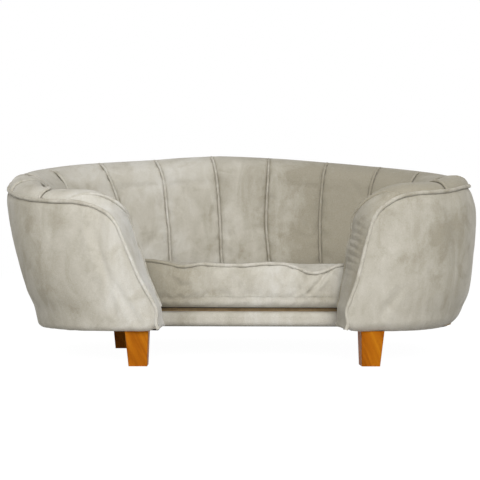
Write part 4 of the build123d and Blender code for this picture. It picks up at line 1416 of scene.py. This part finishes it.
    def channel_welts(self) -> None:
        """Thin piping in the seams between the channels."""
        shares = np.linspace(0.0, 1.0, self.skin_rows)
        lines = []
        for number, rule in enumerate(self.seams()):
            middle = np.asarray(rule(shares))[:, None]
            grid = self.skin_point_grid(middle + np.array([-0.4, 0.0, 0.4]), 0.0)
            normals = grid_normals(grid)[:, 1]
            arm = smooth(np.abs(middle[:, 0]), *self.arm_angles)
            sink = self.channel_cord_sink * smooth(shares, *self.channel_cord_fade) * (1.0 - arm)
            path = grid[:, 1] + normals * (self.channel_cord_lift - sink)[:, None]
            path = path + normals * self.channel_cord_waves.at(path, number)[:, None]
            lines.append(self.form.settle(evenly(path, 0.0025)))
        piece = self.kit.piping("channel_piping", lines, self.channel_cord)
        self.kit.finish(piece, Body.SOFA, Slot.PIPING, "channel_welts", nap_and_shade=self.kit.nap_and_shade_tables.inside)

    def rim_point(self, angle: float, deep: float) -> Point:
        """Point of the rim seam at an angle, at a depth behind the outer face."""
        wall = self.form.slice_at(angle)
        return wall.outer(wall.length - self.form.crest(angle)[0], deep)

    def arm_end(self, side: Side, short: float, deep: float, count: int) -> Point:
        """Line up the outer face at the far end of an arm.

        Args:
            side: Which arm.
            short: How far below the rim seam the line ends.
            deep: Depth behind the outer face.
            count: Number of points.

        Returns:
            Array of points by 3, from the bottom up.
        """
        form = self.form
        wall = form.slice_at(side.value * form.end_angle)
        top = wall.length - form.crest(form.end_angle)[0] - short
        return wall.outer(np.linspace(wall.level(self.band_bottom), top, count), deep)

    def rim_path(self) -> Point:
        """Line of the rim piping, up one arm end, round the rim and down the other."""
        limit = self.form.end_angle - 0.5
        angles = np.linspace(-limit, limit, self.rim_cord_points)
        rim = np.array([self.rim_point(a, self.rim_cord_depth) for a in angles])
        first, last = (self.arm_end(side, self.arm_cord_stop, self.arm_cord_depth, 36) for side in Side)
        return soften(evenly(np.concatenate([first, rim, last[::-1]]), 0.004), self.rim_cord_rounding)

    def rim_welt(self) -> None:
        """Thicker piping along the rim and down the arm ends."""
        path = self.rim_path()
        away = level_away(path, np.zeros(3))
        least, more = self.rim_cord_uneven
        uneven = least + more * smooth(-path[:, 1], *self.rim_cord_fronts)
        sideways, upright = self.rim_cord_waves
        path = path + away * (uneven * sideways.at(path))[:, None]
        path[:, 2] += uneven * upright.at(path)
        piece = self.kit.piping("rim_piping", [self.form.settle(evenly(path, 0.003))], self.rim_cord)
        self.kit.finish(piece, Body.SOFA, Slot.PIPING, "rim_welt", nap_and_shade=self.kit.nap_and_shade_tables.cover)

    def band_edge(self, side: Side, count: int) -> Point:
        """Outer edge of an end band, up the arm end and back along the rim seam."""
        angles = np.linspace(side.value * self.form.end_angle, self.form.band_angle(1.0, side), 24)[1:]
        end_depth, rim_depth = self.band_depths
        rim = np.array([self.rim_point(a, rim_depth) for a in angles])
        path = np.concatenate([self.arm_end(side, 0.0, end_depth, 60), rim])
        edge = soften(evenly(path, 0.001), self.band_rounding)
        return sample(edge, np.linspace(0.0, 1.0, len(edge)), count)

    def end_bands(self) -> None:
        """Narrow padded bands that close the slanted arm ends."""
        form = self.form
        rows = self.skin_rows + 10
        shares = np.linspace(0.0, 1.0, rows)
        across = np.linspace(0.0, 1.0, self.band_columns)
        over = smooth(shares, *self.band_turn)[:, None]
        swell = np.sin(across * math.pi)
        thin, more = self.band_back
        depth = thin + more * smooth(shares, *self.band_back_foot) * (1.0 - smooth(shares, *self.band_back_fade))
        for side, node in ((Side.LEFT, "end_band_left"), (Side.RIGHT, "end_band_right")):
            angles = np.asarray(form.band_angle(shares, side))[:, None]
            seam = self.skin_point_grid(angles, 0.0, self.band_bottom)[:, 0]
            edge = self.band_edge(side, rows)
            wall = form.slice_at(side.value * form.end_angle)
            past = -np.cross(wall.inside, wall.upward) * side.value
            bulge = past * self.band_bulge * (1.0 - over) * smooth(shares, *self.band_foot)[:, None]
            pad = (seam + edge) / 2.0 + bulge + np.array([0.0, 0.0, self.band_rise]) * over
            t = across[None, :, None]
            middle = seam[:, None] * (1 - t) ** 2 + pad[:, None] * 2 * t * (1 - t) + edge[:, None] * t**2
            normals = grid_normals(middle)
            normals *= np.sign(np.sum(normals * past))
            wave = self.band_waves.at(middle) + self.band_gathers(middle, side)
            front = middle + normals * (self.band_swell * swell**0.6 + wave * swell)[..., None]
            back = middle - normals * depth[:, None, None]
            piece = shell_between(f"{node}_skin", form.settle(front), form.settle(back))
            self.kit.finish(piece, Body.SOFA, Slot.VELVET, node, nap_and_shade=self.kit.nap_and_shade_tables.bands)

    def band_gathers(self, points: Point, side: Side) -> Point:
        """Height of the short slanting gathers on an end band."""
        x_wave, z_wave = self.gather_waves
        wave = np.sin(points[..., 2] * z_wave + points[..., 0] * x_wave)
        depth = self.gather_depths[arm_number(side.value)]
        return depth * wave * bell(points[..., 2] - self.gather_level, self.gather_width)

    def cover_column(self, angle: float) -> Point:
        """Points down the outer face, round its foot and along the flange under the wall."""
        form = self.form
        wall = form.slice_at(angle)
        radius = table(angle, form.bottom_radii)
        top = wall.length - form.crest(angle)[0] - 0.001
        near_end = float(smooth(abs(angle), form.end_angle - self.cover_end, form.end_angle))
        share = 1.0 - np.linspace(0.0, 1.0, self.cover_rows)
        heights = radius + (top - radius) * share**self.cover_spacing
        bulge = self.cover_bulge * np.sin(math.pi * share) ** 0.8 * (1 - near_end)
        tuck, tuck_width = self.cover_tuck
        face = wall.outer(heights, tuck * bell(top - heights, tuck_width) - bulge)
        turns = np.linspace(0.0, math.pi / 2.0, 12)[1:]
        base = wall.lean * radius / wall.length
        inwards = base + radius * (1 - np.cos(turns)) - base * np.sin(turns)
        roll = wall.at(inwards, radius * (1 - np.sin(turns)))
        reach = self.flange * (1.0 - self.flange_end * near_end)
        flange = wall.at(np.linspace(inwards[-1], inwards[-1] + reach, 6)[1:], np.zeros(5))
        return np.concatenate([face, roll, flange])

    def cover_grid(self) -> tuple[Point, Point, Point]:
        """Outer face, rolled foot and flange of the cover.

        Returns:
            Grid of the creased cloth, the same without creases and its outward normals, not yet settled.
        """
        angles = np.linspace(-self.form.end_angle, self.form.end_angle, self.cover_columns)
        grid = np.stack([self.cover_column(angle) for angle in angles], axis=1)
        normals = grid_normals(grid)
        wave = sum(waves.at(grid) for waves in self.cover_waves)
        fall = np.linalg.norm(grid - grid[:1], axis=2)
        gathers = self.rim_gathers.at(grid) * bell(fall - 0.010, 0.014)
        ways = wave * smooth(np.arange(grid.shape[0]), 0.0, 6.0)[:, None] + gathers
        ways = creased(ways, self.cover_creases, grid, grid[..., 1] < -0.02)
        sag = table(angles, self.foot_sags)[None, :] * below(grid[..., 2], *self.sag_below)
        shaped = grid + normals * ways[..., None]
        shaped[..., 2] -= sag
        grid[..., 2] -= sag
        return shaped, grid, normals

    def cover(self) -> None:
        """Smooth velvet round the outside of the wall, with its wadding."""
        front, plain, normals = self.cover_grid()
        back = front - normals * self.cover_thickness
        piece = shell_between("outer_cover_skin", self.form.settle(front), self.form.settle(back))
        self.kit.finish(piece, Body.SOFA, Slot.VELVET, "outer_cover", nap_and_shade=self.kit.nap_and_shade_tables.cover)
        rows = self.cover_rows + 8
        near, far = (self.form.settle(plain - normals * deep)[2:rows, ::4] for deep in self.wadding_depths)
        self.kit.finish(shell_between("wadding_layer", near, far), Body.SOFA, Slot.WADDING, "outer_wadding")

    def foam(self) -> None:
        """Foam behind the channels."""
        shares = np.linspace(0.0, 1.0, 30)[:, None]
        near, far = self.foam_insets
        inset = near + far * smooth(shares, 0.6, 0.9)
        left, right = (self.form.band_angle(shares, side) - side.value * inset for side in Side)
        angles = left + (right - left) * np.linspace(0.0, 1.0, 120)[None, :]
        grids = [self.form.settle(self.skin_point_grid(angles, deep)) for deep in self.foam_depths]
        self.kit.finish(shell_between("foam_layer", *grids), Body.SOFA, Slot.FOAM, "wall_foam")

    def frame_layers(self, nodes: dict[str, Piece]) -> None:
        """Hidden board, rail and posts, which lean with the wall."""
        for node, slot in (("wall_board", Slot.BOARD), ("top_rail", Slot.TIMBER), ("wall_posts", Slot.TIMBER)):
            worked = bmesh.new()
            worked.from_mesh(nodes[node].data)
            bmesh.ops.remove_doubles(worked, verts=worked.verts, dist=0.00001)
            mesh = bpy.data.meshes.new(f"{node}_layer")
            worked.to_mesh(mesh)
            worked.free()
            points = points_of(mesh) - np.array([0.0, self.form.middle_y, 0.0])
            mesh.vertices.foreach_set("co", self.form.settle(points).ravel())
            mesh.update()
            self.kit.finish(add_object(mesh.name, mesh), Body.SOFA, slot, node)

    def build(self, nodes: dict[str, Piece]) -> None:
        """Make every piece of the wall."""
        self.channels()
        self.channel_welts()
        self.end_bands()
        self.rim_welt()
        self.cover()
        self.foam()
        self.frame_layers(nodes)


@dataclass
class SeatCushion:
    """The loose boxed cushion with its piping, its stitching and the teeth of its zip."""

    kit: Workshop
    middle_y: float
    half_width: float = 0.270
    rear: float = 0.142
    front: float = -0.140
    rear_radius: float = 0.138
    front_radius: float = 0.128
    bottom: float = 0.0806
    top: float = 0.1440
    crown: float = 0.0002
    side_swell: float = 0.0022
    columns: int = 360
    boxing_rows: int = 22
    flat_rows: int = 4
    base_row: int = 6
    under: Table = (
        (0.060, 0.0), (0.022, 0.0), (0.0120, 0.0006), (0.0065, 0.0028), (0.0026, 0.0065), (0.0008, 0.0115),
        (0.0026, 0.0150), (0.0008, 0.0175),
    )
    rim_inset: float = 0.0035
    boxing_insets: Span = (0.0012, 0.0014)
    boxing_shares: Span = (0.06, 0.94)
    top_insets: tuple[float, ...] = (
        0.006, 0.010, 0.016, 0.024, 0.034, 0.046, 0.060, 0.075, 0.090, 0.105, 0.120, 0.132)
    top_rise: float = 0.0006
    flat_inset: float = 0.085
    crown_inset: float = 0.07
    least_radius: float = 0.004
    edge_fronts: Span = (0.02, 0.11)
    edge_wave: Triple = (0.0018, 46.0, 37.0)
    waves: tuple[Waves, Waves] = (Waves(0.0009, 24.0, 11.0), Waves(0.0004, 75.0, 4.0))
    pocket_x_below: Span = (0.006, 0.005)
    pocket_levels: Span = (-0.0045, -0.0015)
    pocket_spare: float = 0.0004
    pocket_pin: float = 0.0002
    stuffing: Stuffing = Stuffing(2.5, 0.0022)
    cord: Cord = Cord(0.0027, 0.08)
    cord_shift: Span = (0.0020, 0.0006)
    stitch: Bead = Bead(0.0046, 0.0034, 0.0005)
    stitch_shift: Span = (0.0021, 0.0034)
    tooth: Bead = Bead(0.0016, 0.0030, 0.0007)
    front_edge: Table = (
        (-0.20, 0.1500), (-0.170, 0.1525), (-0.150, 0.1515), (-0.132, 0.1485), (-0.112, 0.1430), (-0.096, 0.1438),
        (-0.080, 0.1475), (-0.050, 0.1450), (-0.014, 0.1450), (0.020, 0.1480), (0.048, 0.1475), (0.068, 0.1410),
        (0.084, 0.1340), (0.100, 0.1338), (0.116, 0.1405), (0.128, 0.1455), (0.140, 0.1462), (0.20, 0.1466),
    )
    creases: tuple[Crease, ...] = (
        Crease(((0.118, 0.143), (0.104, 0.124), (0.085, 0.103)), 0.0024, 0.0035),
        Crease(((0.056, 0.140), (0.050, 0.125)), 0.0012, 0.004),
        Crease(((-0.128, 0.128), (-0.112, 0.116), (-0.098, 0.113)), 0.0012, 0.005),
        Crease(((-0.112, 0.098), (-0.104, 0.088)), 0.0016, 0.003),
        Crease(((-0.130, 0.097), (-0.120, 0.086)), 0.0014, 0.003),
        Crease(((0.074, 0.097), (0.064, 0.086)), 0.0014, 0.003),
        Crease(((0.096, 0.096), (0.088, 0.086)), 0.0014, 0.003),
    )

    def outline(self, inset: float) -> Point:
        """Closed outline of the seat, drawn in all round.

        Args:
            inset: Distance drawn in.

        Returns:
            Array of points by 2, which starts at the front middle and runs to the right.
        """
        front, rear = self.front + inset, self.rear - inset
        path = [(0.0, front)]
        for side_x, side_y, radius, start in (
            (1.0, 1.0, self.front_radius, -90.0), (1.0, -1.0, self.rear_radius, 0.0),
            (-1.0, -1.0, self.rear_radius, 90.0), (-1.0, 1.0, self.front_radius, 180.0),
        ):
            radius = max(radius - inset, self.least_radius)
            centre_x = side_x * (self.half_width - inset - radius)
            path += quarter((centre_x, (front if side_y > 0.0 else rear) + side_y * radius), radius, start, 24)
        points = np.array(path + [(0.0, front)])
        return sample(points, lengths(points), self.columns + 1)[:-1]

    def edge_level(self, outline: Point) -> Point:
        """Height of the wavy top edge at each point of the outline."""
        x, y = outline[:, 0], outline[:, 1]
        frontness = smooth(-y, *self.edge_fronts)
        height, x_wave, y_wave = self.edge_wave
        gentle = self.top + height * np.sin(x * x_wave + y * y_wave)
        return frontness * table(x, self.front_edge) + (1 - frontness) * gentle

    @property
    def edge_row(self) -> int:
        """Number of the outline that runs along the top edge."""
        return len(self.under) + self.boxing_rows

    def rows(self) -> list[Point]:
        """Stacked outlines from the underside to the middle of the top."""
        rim = self.outline(self.rim_inset)
        edge = self.edge_level(rim)
        base = self.bottom + self.under[-1][1]
        rows = [(inset, np.full(self.columns, self.bottom + rise)) for inset, rise in self.under]
        least, more = self.boxing_insets
        for share in np.linspace(*self.boxing_shares, self.boxing_rows):
            swell = self.side_swell * math.sin(math.pi * share) ** 0.8
            rows.append((least + more * share - swell, base + (edge - base) * share))
        rows.append((self.rim_inset, edge))
        for inset in self.top_insets:
            flat = float(smooth(inset, 0.0, self.flat_inset))
            rise = self.crown * float(smooth(inset, 0.0, self.crown_inset)) + self.top_rise
            rows.append((inset, edge * (1 - flat) + self.top * flat + rise))
        return [np.column_stack([self.outline(inset), levels]) for inset, levels in rows]

    def pocket(self, grid: Point) -> Point:
        """Depth of the pocket that holds the zip at each point of the placed cushion."""
        low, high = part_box("zipper_tapes")
        spare, fade = self.pocket_x_below
        inside = below(np.abs(grid[..., 0]), high.x + spare, fade)
        level = smooth(grid[..., 2] - low.z, *self.pocket_levels) * smooth(high.z - grid[..., 2], *self.pocket_levels)
        depth = np.clip(grid[..., 1] - low.y + self.pocket_spare, 0.0, None)
        return depth * inside * level * (grid[..., 1] > 0.05)

    def build(self) -> None:
        """Make the cushion, its piping, its stitches and its zip teeth."""
        grid = self.crumple(np.stack(self.rows(), axis=0))
        grid[..., 1] += self.middle_y
        pocket = self.pocket(grid)
        grid[..., 1] -= pocket
        piece = self.closed_stack("seat_cushion", grid)
        rows, columns = grid.shape[:2]
        pinned = [*range(self.flat_rows * columns), rows * columns]
        for row in (self.base_row, self.edge_row):
            pinned += range(row * columns, (row + 1) * columns)
        pinned += np.flatnonzero(pocket.ravel() > self.pocket_pin).tolist()
        self.kit.puff(piece, pinned, self.stuffing)
        self.kit.finish(piece, Body.CUSHION, Slot.VELVET, "cushion_core", "cushion_top_cover", "cushion_boxing",
                        "cushion_base_cover", nap_and_shade=self.kit.nap_and_shade_tables.cushion)
        self.trimmings(grid[self.edge_row], grid[self.base_row])
        self.zip_teeth()

    def crumple(self, grid: Point) -> Point:
        """Add the soft folds of the cover."""
        ring = np.concatenate([grid[:, -1:], grid, grid[:, :1]], axis=1)
        normals = grid_normals(ring)[:, 1:-1]
        centre = np.array([0.0, 0.0, self.top * 0.75])
        normals *= np.sign(np.sum(normals * (grid - centre), axis=2, keepdims=True))
        wave = sum(waves.at(grid) for waves in self.waves)
        near = smooth(np.abs(np.arange(grid.shape[0]) - self.edge_row), 0.0, 2.0)[:, None]
        wave = creased(wave, self.creases, grid, grid[..., 1] < -0.05)
        wave[:self.flat_rows] = 0.0
        return grid + normals * (wave * near)[..., None]

    def closed_stack(self, name: str, grid: Point) -> Piece:
        """Closed mesh of stacked outlines with a fan at each end."""
        rows, columns = grid.shape[:2]
        points = [*grid.reshape(-1, 3), grid[0].mean(axis=0), grid[-1].mean(axis=0)]
        hub, last = rows * columns, (rows - 1) * columns
        ring = [(column, (column + 1) % columns) for column in range(columns)]
        faces = sheet_faces(rows, columns, ring=True) + [(b, a, hub) for a, b in ring]
        faces += [(last + a, last + b, hub + 1) for a, b in ring]
        return mesh_object(name, points, outward(points, faces))

    def beside(self, line: Point, shift: Span) -> Point:
        """A line round the cushion, moved outwards and up."""
        return line + level_away(line, line.mean(axis=0)) * shift[0] + np.array([0.0, 0.0, shift[1]])

    def trimmings(self, edge: Point, base: Point) -> None:
        """Piping along the wavy top edge and stitches just above the base seam."""
        piping = self.kit.piping("cushion_piping", [self.beside(edge, self.cord_shift)], self.cord, closed=True)
        stitches = self.kit.row("cushion_stitches", [self.beside(base, self.stitch_shift)], self.stitch, None,
                                Slot.PIPING)
        self.kit.finish(piping, Body.CUSHION, Slot.PIPING, "cushion_welt", nap_and_shade=self.kit.nap_and_shade_tables.cushion)
        self.kit.finish(stitches, Body.CUSHION, Slot.PIPING, nap_and_shade=self.kit.nap_and_shade_tables.cushion)

    def zip_teeth(self) -> None:
        """Two rows of nylon teeth on the closed zip."""
        low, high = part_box("zipper_coils")
        back, half = (low.y + high.y) / 2.0, self.tooth.length / 2.0
        lines = [np.array([(low.x, back, z), (high.x, back, z)]) for z in (low.z + half, high.z - half)]
        piece = self.kit.row("zip_teeth", lines, self.tooth, (0.0, 0.0, 1.0), Slot.ZIP_NYLON)
        self.kit.finish(piece, Body.CUSHION, Slot.ZIP_NYLON, "zipper_coils", nap_and_shade=self.kit.nap_and_shade_tables.cushion)


@dataclass
class FrontRail:
    """The padded rail between the arms, under the cushion."""

    kit: Workshop
    half_length: float
    corner: float = 0.008
    columns: int = 120
    waves: Waves = Waves(0.0008, 30.0, 13.0)

    def build(self) -> None:
        """Make the rail's velvet wrap."""
        low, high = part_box("front_rail_cover")
        front, rear, bottom, top = low.y, high.y, low.z, high.z
        middle, radius = (rear + front) / 2, self.corner
        ring = [(rear, top), (middle, top)]
        ring += quarter((front + radius, top - radius), radius, 90.0, 8)
        ring += quarter((front + radius, bottom + radius), radius, 180.0, 8)
        ring += [(middle, bottom), (rear, bottom)]
        places = np.linspace(-self.half_length, self.half_length, self.columns)
        grid = np.array([[(x, y, z) for y, z in ring] for x in places])
        wave = self.waves.at(grid)
        grid[..., 1] -= np.abs(wave) * (grid[..., 1] < front + 0.006)
        grid[..., 2] += wave * (grid[..., 2] > top - 0.004) * (grid[..., 1] < front + 0.012)
        rows, columns = grid.shape[:2]
        last = (rows - 1) * columns
        faces = sheet_faces(rows, columns, ring=True)
        faces += [tuple(range(columns))[::-1], tuple(range(last, last + columns))]
        points = grid.reshape(-1, 3)
        piece = mesh_object("front_rail_skin", points, outward(points, faces))
        self.kit.finish(piece, Body.SOFA, Slot.VELVET, "front_rail_cover", "front_rail_foam", nap_and_shade=self.kit.nap_and_shade_tables.rail)


@dataclass(frozen=True)
class Lamp:
    """Square lamp that faces the sofa."""

    name: str
    place: Triple
    size: float
    power: float


@dataclass(frozen=True)
class Studio:
    """Floor, lamps and camera."""

    middle_y: float
    eye: Triple = (-0.0604, -1.4036, 0.1555)
    turns: Triple = (-1.8, 1.31, 0.27)
    focal_pixels: float = 830.0
    frame_pixels: float = 480.0
    sensor: float = 36.0
    floor_reach: float = 6.0
    floor_grey: float = 0.62
    floor_white: float = 0.86
    floor_glow: float = 1.14
    surroundings: float = 0.30
    aim: Triple = (0.0, 0.0, 0.18)
    lamps: tuple[Lamp, ...] = (
        Lamp("key", (0.35, -2.4, 1.35), 1.2, 48.0),
        Lamp("fill", (-1.1, -2.1, 0.8), 1.4, 14.0),
        Lamp("top", (0.1, 0.1, 2.2), 1.6, 6.0),
    )

    def build(self) -> None:
        """Set up the whole studio."""
        self.floor()
        self.world()
        for lamp in self.lamps:
            self.lamp(lamp)
        self.camera()

    def floor(self) -> None:
        """Pale floor that looks white to the camera and keeps the shadow."""
        corners = [(x * self.floor_reach, y * self.floor_reach, 0) for x, y in ((-1, -1), (1, -1), (1, 1), (-1, 1))]
        piece = mesh_object("studio_floor", corners, [(0, 1, 2, 3)])
        material, shader, surface = Finish("studio_floor").start()
        grey = self.floor_grey
        shader.fill(surface, Base_Color=(grey, grey, grey, 1.0), Roughness=1.0, Specular_IOR_Level=0.0)
        white = shader.node("ShaderNodeEmission", Strength=self.floor_glow)
        shader.show_white(self.floor_white, surface, white, "Material Output")
        piece.data.materials.append(material)

    def world(self) -> None:
        """White surroundings for the camera, a plain soft light for the sofa."""
        world = bpy.data.worlds.new("studio")
        bpy.context.scene.world = world
        world.use_nodes = True
        shader = Shader(world.node_tree)
        light = world.node_tree.nodes["Background"]
        shader.fill(light, Color=(*WHITE, 1.0), Strength=self.surroundings)
        white = shader.node("ShaderNodeBackground", Color=(*WHITE, 1.0), Strength=1.0)
        shader.show_white(None, light, white, "World Output")

    def lamp(self, lamp: Lamp) -> None:
        """Add a lamp."""
        data = bpy.data.lights.new(lamp.name, "AREA")
        data.energy, data.size = lamp.power, lamp.size
        made = add_object(lamp.name, data)
        made.location = lamp.place
        made.rotation_euler = (Vector(self.aim) - Vector(lamp.place)).to_track_quat("-Z", "Y").to_euler()

    def camera(self) -> None:
        """Add the camera at the photograph's viewpoint."""
        data = bpy.data.cameras.new("camera")
        data.sensor_width = self.sensor
        data.lens = self.focal_pixels / self.frame_pixels * self.sensor
        camera = add_object("camera", data)
        yaw, pitch, roll = (math.radians(turn) for turn in self.turns)
        right = Vector((math.cos(yaw), math.sin(yaw), 0.0))
        level = Vector((-math.sin(yaw), math.cos(yaw), 0.0))
        ahead = level * math.cos(pitch) + Vector((0, 0, math.sin(pitch)))
        up = Vector((0, 0, math.cos(pitch))) - level * math.sin(pitch)
        turned_right = right * math.cos(roll) + up * math.sin(roll)
        turned_up = up * math.cos(roll) - right * math.sin(roll)
        turn = Matrix((turned_right, turned_up, -ahead)).transposed()
        camera.matrix_world = Matrix.Translation(Vector(self.eye) + Vector((0, self.middle_y, 0))) @ turn.to_4x4()
        bpy.context.scene.camera = camera


def main() -> None:
    """Build the sofa's looks piece by piece."""
    logging.basicConfig(level=logging.INFO, format="%(message)s")
    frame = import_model()
    bpy.context.scene.view_settings.view_transform = "Standard"
    finishes = Finishes()
    for row in frame["record"]["subparts"]:
        finishes.dress(frame["nodes"][row["node"]], Slot(row["material_slot"]))
    kit = Workshop(finishes)
    middle_y = float(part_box("cushion_boxing")[1].y) - SeatCushion.rear
    TubWall(TubForm(middle_y), kit).build(frame["nodes"])
    SeatCushion(kit, middle_y).build()
    FrontRail(kit, float(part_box("front_rail_cover")[1].x)).build()
    Studio(middle_y).build()


if __name__ == "__main__":
    main()
